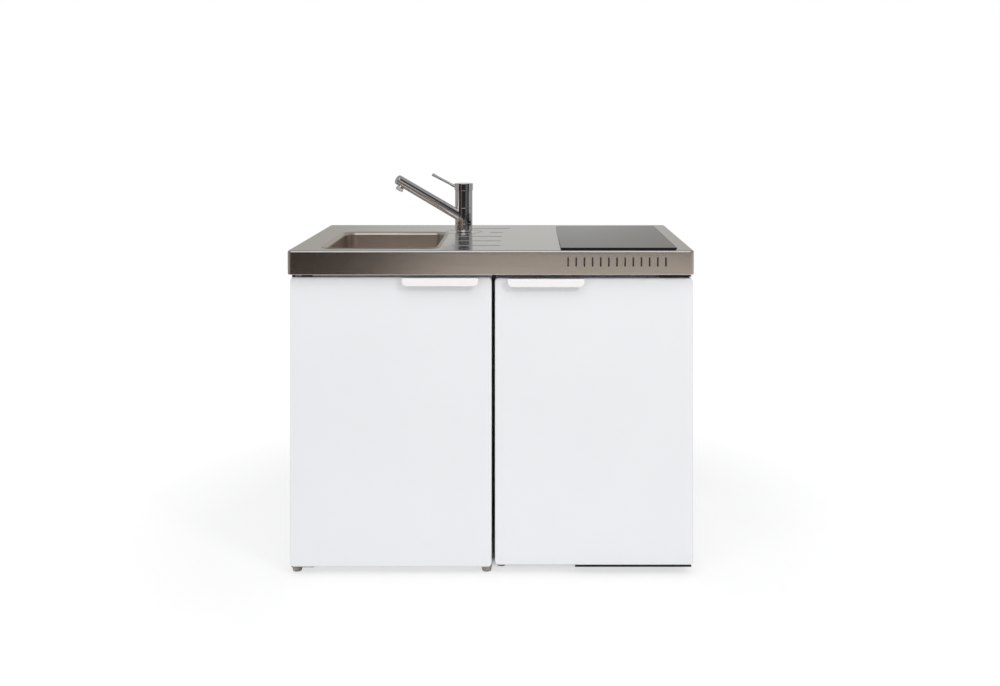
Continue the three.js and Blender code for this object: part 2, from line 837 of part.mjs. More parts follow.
/** The swivelling spout, bored through, and the aerator screwed to its nozzle. */
function buildSpout(place) {
  const turn = new THREE.Group();
  turn.rotation.z = spoutTurn;
  place.add(turn);
  const along = new THREE.Vector3(Math.cos(spoutRise), 0, Math.sin(spoutRise));
  const down = new THREE.Vector3(Math.sin(spoutRise), 0, -Math.cos(spoutRise));
  const root = new THREE.Vector3(0, 0, spoutAxisHeight);
  const at = (distance) => root.clone().addScaledVector(along, distance);
  const [foot, head] = [tapRingTop + gap, swivelTop - gap];
  const ring = turned([
    [0, foot],
    [tapRadius - 1, foot],
    [tapRadius, foot + 1],
    [tapRadius, head - 1],
    [tapRadius - 1, head],
    [0, head],
  ]);
  const arm = turnedAlong([
    [0, 0],
    [spoutRootRadius, 0],
    [spoutTipRadius, spoutLength - 5],
    [spoutTipRadius - 1.5, spoutLength - 2],
    [spoutTipRadius - 5, spoutLength - 0.5],
    [0, spoutLength],
  ], 20, root, along);
  const nozzleAt = at(spoutLength - nozzleFromTip);
  const nozzleEnd = nozzleAt.clone().addScaledVector(down, nozzleLength);
  const nozzle = rod(nozzleAt, nozzleEnd, nozzleRadius, 12);
  const waterway = rod(at(tapCore), nozzleAt, spoutBore, 12);
  const outlet = rod(nozzleAt, nozzleEnd.clone().add(down), spoutBore - 1.5, 12);
  const sleeve = post(0, 0, foot - 1, head + 1, tapCore + 2 * gap);
  const bodyRoom = post(0, 0, head, head + tapRadius, tapRadius + gap);
  add("tap_spout", cut(join(ring, arm, nozzle), sleeve, bodyRoom, waterway, outlet), chrome, turn);

  const start = nozzleEnd.clone().addScaledVector(down, gap);
  add("tap_aerator", turnedAlong([
    [spoutBore - 2, 0],
    [aeratorRadius, 0],
    [aeratorRadius, aeratorLength - 1.5],
    [aeratorRadius - 1.5, aeratorLength],
    [spoutBore - 1, aeratorLength],
    [spoutBore - 2, aeratorLength - 2],
    [spoutBore - 2, 0],
  ], 16, start, down), chrome, turn);
}

/** The cartridge spindle that turns, and the cap with its lever that tips on it. */
function buildLever(place) {
  const stemTop = capPivot + stemReach;
  const stemRadius = 4;
  const shoulder = capPivot + Math.sqrt(stemReach ** 2 - stemRadius ** 2);
  add("tap_cartridge", turned([
    [0, tapBodyTop + gap],
    [tapCore, tapBodyTop + gap],
    [tapCore, tapBodyTop + gap + 1.5],
    [stemRadius, tapBodyTop + gap + 1.5],
    [stemRadius, shoulder],
    [stemRadius / 2, capPivot + Math.sqrt(stemReach ** 2 - stemRadius ** 2 / 4)],
    [0, stemTop],
  ], 20), zincSteel, place);

  const capTop = tapBodyTop + capHeight;
  const ceiling = capTop - 3;
  const shell = turned([
    [0, stemTop + gap],
    [stemRadius, stemTop + gap],
    [stemRadius, ceiling],
    [capRadius - capWall, ceiling],
    [capRadius - capWall, tapBodyTop + gap],
    [capRadius, tapBodyTop + gap],
    [capRadius, capTop - 1.5],
    [capRadius - 1.5, capTop],
    [0, capTop],
  ]);
  const along = new THREE.Vector3(-Math.cos(leverRise), 0, Math.sin(leverRise));
  const exit = new THREE.Vector3(-capRadius, 0, leverExit);
  const inner = exit.clone().addScaledVector(along, -4);
  const hole = rod(inner.clone().addScaledVector(along, -2), exit.clone().addScaledVector(along, 8),
    leverRadius + gap, 16);
  add("tap_cap", cut(shell, hole), chrome, place);
  add("tap_lever", turnedAlong([
    [0, 0],
    [leverRadius, 0],
    [leverRadius, leverLength + 2],
    [leverRadius - 1.2, leverLength + 4],
    [0, leverLength + 4],
  ], 16, inner, along), chrome, place);
}

// ---------------------------------------------------------------- handles and feet

/** A moulded grip along the top edge of a door: a hood that is open underneath for the fingers. */
function buildHandle(name, x, doorTop) {
  const face = doorFace - handleDepth;
  const middle = doorTop - handleHeight / 2;
  const hood = standingSlab({
    w: handleWidth, h: handleHeight, r: [1.5, 1.5, handleCorner, handleCorner],
    cx: x, cz: middle, rear: doorFace, face, edge: handleEdge,
  }, 4);
  const room = standingSlab({
    w: handleWidth - 2 * handleWall,
    h: handleHeight - 2 * handleWall,
    r: [1, 1, handleCorner - handleWall, handleCorner - handleWall],
    cx: x, cz: middle, rear: doorFace - handleWall / 2, face: face + handleWall, edge: 1, arc: 1,
  }, 4);
  const reach = handleWidth / 2 - handleCorner;
  const mouth = block(x - reach, x + reach, face + handleWall, doorFace - handleWall / 2,
    middle - handleHeight / 2 - 1, middle);
  add(name, cut(hood, room, mouth), whitePlastic);
}

/** A levelling foot on its stud; z is the underside that it carries. */
function buildFoot(name, x, y, z, material) {
  const foot = turned([
    [0, 0],
    [footBottomRadius, 0],
    [footTopRadius, z - 5],
    [footTopRadius, z - gap],
    [studRadius, z - gap],
    [studRadius, z + studLength],
    [0, z + studLength],
  ], 10);
  add(name, foot, material).position.set(x, y, 0);
}

const cupboardFeet = {
  y: [front + cupboardFootFromFront, cupboard.y1 - rearFootInset],
  x: [cupboard.x0 + footInset, cupboard.x1 - footInset],
};
const fridgeFeet = {
  y: [front + fridgeFootFromFront, fridge.y1 - rearFootInset],
  x: [fridge.x0 + footInset, fridge.x1 - footInset],
};

function studHoles(feet, z) {
  return feet.x.flatMap((x) => feet.y.map((y) => post(x, y, z - 1, z + studLength + 1, studRadius + 2 * gap, 10)));
}

function buildFeet() {
  for (const [column, side] of ["left", "right"].entries()) {
    for (const [row, end] of ["front", "rear"].entries()) {
      buildFoot(`cabinet_foot_${end}_${side}`, cupboardFeet.x[column], cupboardFeet.y[row], cupboard.z0, greyPlastic);
      buildFoot(`fridge_foot_${end}_${side}`, fridgeFeet.x[column], fridgeFeet.y[row], fridge.z0, greyPlastic);
    }
  }
}

// ---------------------------------------------------------------- cupboard

/** One folded side: web, front and rear flanges, top flange, and the two tabs that carry the shelf. */
function cupboardSide(name, outer, inward) {
  const span = (from, to) => [Math.min(outer + inward * from, outer + inward * to),
    Math.max(outer + inward * from, outer + inward * to)];
  const { y0, y1, z0, z1 } = cupboard;
  const folded = cut(
    block(...span(0, frontFlange), y0, y1, z0, z1),
    block(...span(panelSheet, frontFlange + 1), y0 + panelSheet, y1 - panelSheet, z0 - 1, z1 - panelSheet),
    block(...span(rearFlange, frontFlange + 1), y0 + panelSheet, y1 + 1, z0 - 1, z1 + 1),
  );
  const tabs = [shelf.y0 + 30, shelf.y1 - 60].map((y) =>
    block(...span(panelSheet / 2, shelfTab), y, y + 30, shelfHeight - panelSheet, shelfHeight));
  add(name, join(folded, ...tabs), whiteEnamel);
}

const shelf = { y0: cupboard.y0 + 20, y1: cupboard.y0 + 20 + shelfDepth };

function buildCupboard() {
  cupboardSide("cabinet_side_left", cupboard.x0, 1);
  cupboardSide("cabinet_side_right", cupboard.x1, -1);
  const inner = {
    x0: cupboard.x0 + panelSheet,
    x1: cupboard.x1 - panelSheet,
    y0: cupboard.y0 + panelSheet,
    y1: cupboard.y1 - panelSheet,
  };
  const floorTop = cupboard.z0 + cupboardFloorRise;
  const tray = cut(
    block(inner.x0, inner.x1, inner.y0, inner.y1, cupboard.z0, floorTop),
    block(inner.x0 + panelSheet, inner.x1 - panelSheet, inner.y0 + panelSheet, inner.y1 - panelSheet,
      cupboard.z0 + panelSheet, floorTop - panelSheet),
    block(inner.x0 + trayLip, inner.x1 - trayLip, inner.y0 + trayLip, inner.y1 - trayLip,
      cupboard.z0 - 1, cupboard.z0 + 2 * panelSheet),
    ...studHoles(cupboardFeet, cupboard.z0),
  );
  add("cabinet_floor", tray, whiteEnamel);

  const window = { x: inner.x0 + backMargin, z0: floorTop + backMargin, z1: underside - backMargin };
  const panel = cut(
    block(inner.x0, inner.x1, inner.y1 - panelSheet, inner.y1, floorTop, underside - panelSheet),
    block(window.x, inner.x1 - backMargin, inner.y1 - 2 * panelSheet, inner.y1 + 1, window.z0, window.z1),
  );
  add("cabinet_back", panel, whiteEnamel);

  const railEnds = [cupboard.x0 + frontFlange, cupboard.x1 - frontFlange];
  const rail = join(
    block(...railEnds, cupboard.y0, inner.y0, underside - railHeight, underside),
    block(...railEnds, cupboard.y0, cupboard.y0 + railFoot, underside - railHeight,
      underside - railHeight + panelSheet),
  );
  add("cabinet_rail", rail, whiteEnamel);

  const plate = cut(
    block(inner.x0 + gap, inner.x1 - gap, shelf.y0, shelf.y1, shelfHeight, shelfHeight + shelfFold),
    block(inner.x0 + gap + panelSheet, inner.x1 - gap - panelSheet, shelf.y0 + panelSheet, shelf.y1 - panelSheet,
      shelfHeight + panelSheet, shelfHeight + shelfFold - panelSheet),
    block(inner.x0 + rearFlange, inner.x1 - rearFlange, shelf.y0 + rearFlange, shelf.y1 - rearFlange,
      shelfHeight - 1, shelfHeight + 2 * panelSheet),
  );
  add("cabinet_shelf", plate, whiteEnamel);

  const catchX = cupboard.x1 - frontFlange - catchWidth / 2 - 2;
  const magnet = block(catchX - catchWidth / 2, catchX + catchWidth / 2, cupboard.y0 + gap, cupboard.y0 + 18,
    underside - railHeight - 15, underside - railHeight);
  add("door_catch", magnet, whitePlastic);
}

/** The left door: a pan with a folded edge, closed by an inner sheet, with the pivot holes in its edges. */
function buildLeftDoor() {
  const x = cupboard.x0 + leftDoorWidth / 2;
  const height = leftDoorTop - cupboard.z0;
  const z = cupboard.z0 + height / 2;
  const rear = doorFace + leftDoorThickness - doorSheet;
  const pan = doorPan({ x, z, w: leftDoorWidth, h: height, rear, sheet: doorSheet, fold: 16 });
  add("left_door", cut(pan, ...pinHoles(leftPivot, cupboard.z0, leftDoorTop)), whiteEnamel);
  const lining = standingSlab({
    w: leftDoorWidth - 4, h: height - 4, r: doorCorner - 2, cx: x, cz: z,
    rear: rear + doorSheet, face: rear, edge: 0.4, arc: 1,
  });
  add("left_door_inner", lining, whiteEnamel);
  buildHandle("left_handle", cupboard.x0 + leftDoorWidth - handleFromEdge - handleWidth / 2, leftDoorTop);
}

/** A pressed door pan, open at the back inside its fold. */
function doorPan({ x, z, w, h, rear, sheet, fold }) {
  return cut(
    standingSlab({ w, h, r: doorCorner, cx: x, cz: z, rear, face: doorFace, edge: doorEdge, lowerEdge: 1 }),
    standingSlab({
      w: w - 2 * sheet, h: h - 2 * sheet, r: doorCorner - sheet, cx: x, cz: z,
      rear: rear - sheet, face: doorFace + sheet, edge: doorEdge - sheet,
    }),
    block(x - w / 2 + fold, x + w / 2 - fold, rear - 2 * sheet, rear + 1, z - h / 2 + fold, z + h / 2 - fold),
  );
}

function pinHoles(pivot, bottom, topEdge) {
  return [[bottom - 1, bottom + pinReach + 1], [topEdge - pinReach - 1, topEdge + 1]].map(([z0, z1]) =>
    post(pivot.x, pivot.y, z0, z1, pinRadius + gap, 12));
}

/** Pivot hinges of the left door: a plate with a pin, and a tab on the carcass front. */
function buildLeftHinges() {
  const plateX = [leftPivot.x - 5, leftPivot.x + 51];
  const tabX = [leftPivot.x + 17, leftPivot.x + 44];
  const plateY = [leftPivot.y - 8, leftPivot.y + 5];
  const lowerY = [leftPivot.y - 4, leftPivot.y + 5];
  const seat = cupboard.y0;
  const upper = { z0: underside - gap - hingePlate, z1: underside - gap };
  add("left_hinge_top", join(
    block(...plateX, ...plateY, upper.z0, upper.z1),
    block(...tabX, plateY[0], seat, upper.z0, upper.z1),
    block(...tabX, seat - hingeTab, seat, underside - 26, upper.z1),
    post(leftPivot.x, leftPivot.y, leftDoorTop - pinReach, upper.z0 + 1, pinRadius, 12),
  ), blackEnamel);
  const lower = { z0: cupboard.z0 - lowerPlate - 0.5, z1: cupboard.z0 - 0.5 };
  add("left_hinge_bottom", join(
    block(...plateX, ...lowerY, lower.z0, lower.z1),
    block(...tabX, lowerY[0], seat, lower.z0, lower.z1),
    block(...tabX, seat - hingeTab, seat, lower.z0, cupboard.z0 + 30),
    post(leftPivot.x, leftPivot.y, lower.z1 - 1, cupboard.z0 + pinReach, pinRadius, 12),
  ), blackEnamel);
}

// ---------------------------------------------------------------- fridge

/** The fridge's outer form without the compressor's niche, moved in by inset. */
function fridgeForm(inset) {
  const body = boxOf(fridge, -inset);
  const recess = block(
    fridge.x0 + nicheSide - inset, fridge.x1 - nicheSide + inset,
    niche.y0 - inset, fridge.y1 + 5, fridge.z0 - 5, niche.z1 + inset,
  );
  return cut(body, recess);
}

/** The cold space, moved out by grow, and reaching forward past the front. */
function coldSpace(grow, forward) {
  const x = (cold.x0 + cold.x1) / 2;
  const round = linerCorner + grow;
  const square = 0.5;
  const part = (z0, z1, rear, r) => standingSlab({
    w: cold.x1 - cold.x0 + 2 * grow, h: z1 - z0 + 2 * grow, r,
    cx: x, cz: (z0 + z1) / 2, rear: rear + grow, face: cold.y0 - forward, edge: 0.01, arc: 1,
  });
  return join(
    part(step.z1, cold.z1, cold.y1, [round, round, square, square]),
    part(cold.z0, step.z1 + linerCorner, step.y0, [square, square, round, round]),
  );
}

function linerRibs() {
  const ribs = [
    [upperShelfHeight, cold.y1 - 10],
    [step.z1, step.y0],
    [cold.z1 - freezerHeight, cold.y1 - 10],
  ];
  return ribs.flatMap(([z, y1]) => [
    block(cold.x0 - linerWall / 2, cold.x0 + shelfRib, shelfFront, y1, z - shelfRib, z),
    block(cold.x1 - shelfRib, cold.x1 + linerWall / 2, shelfFront, y1, z - shelfRib, z),
  ]);
}

const shelfFront = cold.y0 + binDepth + 10;

function buildFridgeBody() {
  const fitted = linerWall + gap;
  const bar = block(
    fridge.x0 + nicheSide - fridgeSheet, fridge.x1 - nicheSide + fridgeSheet,
    niche.y0 + 30, fridge.y1 - 30, fridge.z0 + 5, fridge.z0 + 8,
  );
  const shell = cut(fridgeForm(0), fridgeForm(fridgeSheet), coldSpace(fitted, 5), ...studHoles(fridgeFeet, fridge.z0));
  add("fridge_case", join(shell, bar), whiteEnamel);
  const filling = cut(fridgeForm(fridgeSheet), coldSpace(fitted, 5), ...studHoles(fridgeFeet, fridge.z0));
  add("fridge_insulation", filling, foam);

  const lip = standingSlab({
    w: cold.x1 - cold.x0 + 2 * (linerWall + linerFlange), h: cold.z1 - cold.z0 + 2 * (linerWall + linerFlange),
    r: linerCorner + linerWall + linerFlange, cx: (cold.x0 + cold.x1) / 2, cz: (cold.z0 + cold.z1) / 2,
    rear: cold.y0, face: cold.y0 - 1, edge: 0.3, arc: 1,
  });
  const shape = cut(join(coldSpace(linerWall, 0), lip), coldSpace(0, 2));
  add("fridge_liner", join(shape, ...linerRibs()), linerPlastic);
}

/** Glass shelf, crisper with its cover, ice box with flap, and the thermostat. */
function buildFridgeInside() {
  const x0 = cold.x0 + 1;
  const x1 = cold.x1 - 1;
  const plate = (z) => block(x0, x1, shelfFront, cold.y1 - 10, z, z + glassShelf);
  add("fridge_shelf", plate(upperShelfHeight), clearGlass);
  add("crisper_cover", plate(step.z1), clearGlass);

  const drawer = (inset, z0, z1) => {
    const w = cold.x1 - cold.x0 - 12 - 2 * inset;
    const rear = step.y0 - 6 - inset;
    const face = shelfFront - 4 + inset;
    return [z0, z1].map((z, i) => ({
      z, w: w - 16 * (1 - i), h: rear - face - 16 * (1 - i), r: 16,
      cx: (cold.x0 + cold.x1) / 2, cy: (rear + face) / 2,
    }));
  };
  const bin = cut(
    solid(loft(drawer(0, cold.z0 + gap, step.z1 - 12))),
    solid(loft(drawer(2.5, cold.z0 + 3, step.z1 - 11))),
  );
  add("crisper", bin, clearGlass);
  buildFreezer();

  const box = {
    x0: cold.x1 - thermostatDepth, x1: cold.x1 - gap,
    y0: cold.y0 + thermostatFromFront, y1: cold.y0 + thermostatFromFront + thermostatLength,
    z0: upperShelfHeight + thermostatOverShelf, z1: upperShelfHeight + thermostatOverShelf + thermostatHeight,
  };
  add("thermostat_housing", boxOf(box), linerPlastic);
  const knobAt = new THREE.Vector3(box.x0 - gap, (box.y0 + box.y1) / 2, (box.z0 + box.z1) / 2);
  const outward = new THREE.Vector3(-1, 0, 0);
  const dial = turnedAlong([[0, 0], [15, 0], [14, 5], [13, 6], [0, 6]], 16, knobAt, outward);
  const bar = block(knobAt.x - 13, knobAt.x - 5, knobAt.y - 3, knobAt.y + 3, knobAt.z - 12, knobAt.z + 12);
  add("thermostat_knob", join(dial, bar), whitePlastic);
}

function buildFreezer() {
  const base = cold.z1 - freezerHeight;
  const outline = (inset, rear, face) => standingSlab({
    w: cold.x1 - cold.x0 - 2 * (gap + inset), h: freezerHeight - gap - 2 * inset,
    r: [linerCorner, linerCorner, 4, 4],
    cx: (cold.x0 + cold.x1) / 2, cz: base + (freezerHeight - gap) / 2, rear, face, edge: 0.3, arc: 1,
  });
  const face = cold.y0 + freezerSetBack;
  const pivot = { y: face - 2, z: base + freezerWall + 1 + flapHeight - 3 };
  const ears = [[cold.x0 + gap, cold.x0 + gap + freezerWall], [cold.x1 - gap - freezerWall, cold.x1 - gap]].map(
    ([x0, x1]) => block(x0, x1, face - 6, face + 4, pivot.z - 5, pivot.z + 5));
  const box = cut(outline(0, cold.y1 - gap, face), outline(freezerWall, cold.y1 - gap - freezerWall, face - 2));
  add("freezer_box", join(box, ...ears), linerPlastic);

  const flapX = [cold.x0 + freezerWall + 2, cold.x1 - freezerWall - 2];
  const pinEnds = [cold.x0 + freezerWall + 2 * gap, cold.x1 - freezerWall - 2 * gap];
  const flap = block(...flapX, face - 3.3, face - gap, base + freezerWall + 1, base + freezerWall + 1 + flapHeight);
  const pins = rod(new THREE.Vector3(pinEnds[0], pivot.y, pivot.z), new THREE.Vector3(pinEnds[1], pivot.y, pivot.z),
    1.6, 12);
  add("freezer_flap", join(flap, pins), linerPlastic);
}

/** The fridge door: pan, inner lining with its raised frame, gasket and two bins. */
function buildFridgeDoor() {
  const x = right - fridgeDoorWidth / 2;
  const height = fridgeDoorTop - fridge.z0;
  const z = fridge.z0 + height / 2;
  const rear = doorFace + fridgeDoorThickness;
  const pan = doorPan({ x, z, w: fridgeDoorWidth, h: height, rear, sheet: fridgeSheet, fold: 12 });
  add("fridge_door", cut(pan, ...pinHoles(rightPivot, fridge.z0, fridgeDoorTop)), whiteEnamel);

  const frame = (grow, y0, y1) => standingSlab({
    w: cold.x1 - cold.x0 - 2 * dykeClearance + 2 * grow, h: cold.z1 - cold.z0 - 2 * dykeClearance + 2 * grow,
    r: 18 + grow, cx: (cold.x0 + cold.x1) / 2, cz: (cold.z0 + cold.z1) / 2, rear: y1, face: y0, edge: 0.3, arc: 1,
  });
  const sheetBack = rear + linerWall;
  const plate = standingSlab({
    w: fridgeDoorWidth - 12, h: height - 12, r: doorCorner, cx: x, cz: z,
    rear: sheetBack, face: rear, edge: 0.4, arc: 1,
  });
  const crest = rear + dykeDepth;
  const dyke = cut(frame(0, rear, crest), frame(-dykeWidth, sheetBack, crest + 1));
  const hollow = cut(frame(-linerWall, rear - 1, crest - linerWall), frame(linerWall - dykeWidth, rear - 2, crest));
  add("fridge_door_liner", cut(join(plate, dyke), hollow), linerPlastic);

  const seal = (inset, y0, y1) => standingSlab({
    w: fridgeDoorWidth - 2 * inset, h: height - 2 * inset, r: 6, cx: x, cz: z, rear: y1, face: y0, edge: 0.4, arc: 1,
  });
  add("fridge_gasket", cut(
    seal(gasketInset, sheetBack, fridge.y0 - gap),
    seal(gasketInset + gasketWidth, sheetBack - 1, fridge.y0 + 1),
  ), blackRubber);

  const binHalf = (cold.x1 - cold.x0) / 2 - dykeClearance - dykeWidth - gap;
  const binX = (cold.x0 + cold.x1) / 2;
  const bins = [
    ["door_bin_lower", cold.z0 + lowerBinRise, lowerBinHeight],
    ["door_bin_upper", upperShelfHeight - upperBinHeight, upperBinHeight],
  ];
  for (const [name, z0, tall] of bins) {
    const tray = cut(
      block(binX - binHalf, binX + binHalf, sheetBack + gap, rear + binDepth, z0, z0 + tall),
      block(binX - binHalf + 2, binX + binHalf - 2, sheetBack + gap + 2, rear + binDepth - 2, z0 + 2, z0 + tall + 1),
    );
    add(name, tray, clearGlass);
  }
  buildHandle("fridge_handle", right - fridgeDoorWidth + handleFromEdge + handleWidth / 2, fridgeDoorTop);
}

function buildFridgeHinges() {
  const plateX = [rightPivot.x - 70, rightPivot.x + 8];
  const armX = [rightPivot.x - 70, rightPivot.x - 18];
  const plateY = [rightPivot.y - 12, rightPivot.y + 15];
  const upper = { z0: fridgeDoorTop + 3, z1: fridgeDoorTop + 3 + hingePlate };
  add("fridge_hinge_top", join(
    block(...plateX, ...plateY, upper.z0, upper.z1),
    block(...armX, plateY[0], fridge.y0, upper.z0, upper.z1),
    block(...armX, fridge.y0 - 1.5, fridge.y0, upper.z0, underside - gap),
    post(rightPivot.x, rightPivot.y, fridgeDoorTop - pinReach, upper.z0 + 1, pinRadius, 12),
  ), blackEnamel);
  const lower = { z0: fridge.z0 - 3 - hingePlate, z1: fridge.z0 - 3 };
  add("fridge_hinge_bottom", join(
    block(rightPivot.x - lowerRail, rightPivot.x + 8, ...plateY, lower.z0, lower.z1),
    block(...armX, plateY[0], fridge.y0 + 16, lower.z0, lower.z1),
    block(...armX, fridge.y0, fridge.y0 + 16, lower.z0, fridge.z0),
    post(rightPivot.x, rightPivot.y, lower.z1 - 1, fridge.z0 + pinReach, pinRadius, 12),
  ), blackEnamel);
}

/** The compressor on its rubber-footed plate, standing on the bar across the niche. */
function buildCompressor() {
  const seat = fridge.z0 + 8;
  const x = fridge.x0 + compressorFromLeft;
  const y = (niche.y0 + fridge.y1) / 2;
  const r = compressorRadius;
  const crown = seat + compressorHeight;
  const can = turned([
    [0, seat + 10],
    [r - 14, seat + 10],
    [r - 3, seat + 18],
    [r, seat + 34],
    [r, crown - 58],
    [r - 4, crown - 38],
    [r - 14, crown - 16],
    [r - 34, crown - 4],
    [0, crown],
  ], 16).translate([x, y, 0]);
  const plate = block(x - r - 12, x + r + 12, y - compressorPlateWidth / 2, y + compressorPlateWidth / 2,
    seat + 7, seat + 10.5);
  const mounts = [-1, 1].flatMap((i) => [-1, 1].map((j) =>
    post(x + i * (r + 2), y + j * compressorMountPitch / 2, seat, seat + 8, 8, 12)));
  add("compressor", join(can, plate, ...mounts), blackEnamel);
}

/** The condenser on the fridge's back: one tube folded into runs, with upright wires welded across them. */
function buildCondenser() {
  const y = fridge.y1 + condenserStandoff;
  const [x0, x1] = [fridge.x0 + condenserMargin, fridge.x1 - condenserMargin];
  const bend = condenserPitch / 2;
  const z0 = niche.z1 + 2 * condenserPitch - bend;
  const path = [];
  for (let run = 0; run < condenserRuns; run++) {
    const z = z0 + run * condenserPitch;
    const ends = run % 2 ? [x1 - bend, x0 + bend] : [x0 + bend, x1 - bend];
    ends.forEach((x) => path.push(new THREE.Vector3(x, y, z)));
    if (run + 1 === condenserRuns) break;
    const side = run % 2 ? -1 : 1;
    for (let i = 1; i < bendSteps; i++) {
      const angle = (i / bendSteps) * Math.PI;
      path.push(new THREE.Vector3(ends[1] + side * bend * Math.sin(angle), y, z + bend * (1 - Math.cos(angle))));
    }
  }
  const coil = tube(path, condenserTube, 5, new THREE.Vector3(0, 1, 0));
  const height = (condenserRuns - 1) * condenserPitch;
  const wires = Array.from({ length: condenserWires }, (_, i) => {
    const x = x0 + bend + 6 + (i / (condenserWires - 1)) * (x1 - x0 - 2 * bend - 12);
    const wireY = y + condenserTube + wireRadius * 0.4;
    return block(x - wireRadius, x + wireRadius, wireY - wireRadius, wireY + wireRadius, z0 - 10, z0 + height + 10);
  });
  const clips = [z0, z0 + height].flatMap((z) => [x0 + 2 * bend + 10, x1 - 2 * bend - 10].map((x) =>
    block(x - 7, x + 7, fridge.y1, y, z - 4, z + 4)));
  add("condenser", join(coil, ...wires, ...clips), blackEnamel);
}

buildWorktop();
buildBowl();
buildWaste();
buildTrap();
buildHob();
buildTap();
buildCupboard();
buildLeftDoor();
buildLeftHinges();
buildFridgeBody();
buildFridgeInside();
buildFridgeDoor();
buildFridgeHinges();
buildCompressor();
buildCondenser();
buildFeet();

export default unit;
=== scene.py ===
# %% [markdown]
# # Dressing a one-metre kitchenette
# The object is a small kitchen in one piece: a pressed steel worktop with a sink, a tap and a glass
# hob, which rests on a steel cupboard and on a small fridge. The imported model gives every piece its
# true place and its joints, so this script never moves those solids. It gives them finishes, and
# lays finer pieces over the ones that show most.

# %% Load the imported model
import json
from math import cos, pi, radians, sin, tan

import bmesh
import bpy
from mathutils import Matrix, Vector


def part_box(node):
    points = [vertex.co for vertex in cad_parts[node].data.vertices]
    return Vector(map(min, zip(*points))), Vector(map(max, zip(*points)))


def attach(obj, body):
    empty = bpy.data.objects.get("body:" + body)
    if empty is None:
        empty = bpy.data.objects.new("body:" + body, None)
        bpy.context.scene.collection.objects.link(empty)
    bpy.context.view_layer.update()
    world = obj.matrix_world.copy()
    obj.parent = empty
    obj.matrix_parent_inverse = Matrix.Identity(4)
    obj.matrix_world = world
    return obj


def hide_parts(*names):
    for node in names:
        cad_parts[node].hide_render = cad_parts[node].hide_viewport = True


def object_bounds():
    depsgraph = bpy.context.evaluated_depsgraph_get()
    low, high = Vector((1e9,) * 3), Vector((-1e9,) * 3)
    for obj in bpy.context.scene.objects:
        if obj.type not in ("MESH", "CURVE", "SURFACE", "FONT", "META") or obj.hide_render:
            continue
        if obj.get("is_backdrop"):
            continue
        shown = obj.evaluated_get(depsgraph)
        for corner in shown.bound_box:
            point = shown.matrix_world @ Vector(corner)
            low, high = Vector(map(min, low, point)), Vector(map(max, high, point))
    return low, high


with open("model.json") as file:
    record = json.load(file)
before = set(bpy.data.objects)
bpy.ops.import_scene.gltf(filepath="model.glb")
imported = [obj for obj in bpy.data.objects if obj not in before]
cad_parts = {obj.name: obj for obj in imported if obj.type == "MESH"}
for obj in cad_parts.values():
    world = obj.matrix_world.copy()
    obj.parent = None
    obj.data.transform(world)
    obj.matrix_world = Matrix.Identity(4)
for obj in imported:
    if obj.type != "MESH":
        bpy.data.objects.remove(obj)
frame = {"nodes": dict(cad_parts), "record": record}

cad_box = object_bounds()


def metres(values):
    """Lengths for printing, to a tenth of a millimetre."""
    return [round(v, 4) for v in values]


print("solids:", len(frame["nodes"]), "box:", [metres(corner) for corner in cad_box])

# %% [markdown]
# ## The camera
# The photograph was taken level, from about 2.7 m in front of the worktop and 0.35 m above it. It
# is a part of a larger level view, so the camera stays level and its shift moves the picture down
# and a little to the left. That keeps the doors' upright edges parallel, which tilting would not.
# The sensor is fitted by its height, so its width plays no part in this picture. A view from
# another side keeps the shift and takes its distance from that width, and half the usual width
# leaves room for the whole unit. The picture's size, the point that the camera faces squarely and
# the focal length are in pixels of the photograph, and the sensor is in millimetres.

# %% Camera
PICTURE = (1000, 686)
AXIS_AT = (527.9, 109.2)
FOCAL_PIXELS = 1105
CAMERA_AT = (0.0914, -3.011, 1.1517)
SENSOR_HEIGHT, SENSOR_WIDTH = 24, 17


def placed(name, data):
    """A new object in the scene."""
    made = bpy.data.objects.new(name, data)
    bpy.context.scene.collection.objects.link(made)
    return made


camera = placed("camera", bpy.data.cameras.new("camera"))
camera.location = CAMERA_AT
camera.rotation_euler = (radians(90), 0, 0)
optics = camera.data
optics.sensor_fit = "VERTICAL"
optics.sensor_height, optics.sensor_width = SENSOR_HEIGHT, SENSOR_WIDTH
optics.lens = FOCAL_PIXELS * SENSOR_HEIGHT / PICTURE[1]
optics.shift_x = (PICTURE[0] / 2 - AXIS_AT[0]) / PICTURE[1]
optics.shift_y = (AXIS_AT[1] - PICTURE[1] / 2) / PICTURE[1]
bpy.context.scene.camera = camera
bpy.context.scene.view_settings.view_transform = "Standard"
print("lens, shift:", metres([optics.lens, optics.shift_x, optics.shift_y]))

# %% [markdown]
# ## Shader maths as Python
# A finish is a small calculation: a pattern, stretched and mixed, ends as a colour, a roughness or
# a bump. Wiring that by hand takes many lines, so one class stands for a socket and lets + - * /
# build the Math nodes, and one method makes any other node. Settings come first, because some nodes
# change their sockets with them. A colour is three numbers, and the method adds the fourth.

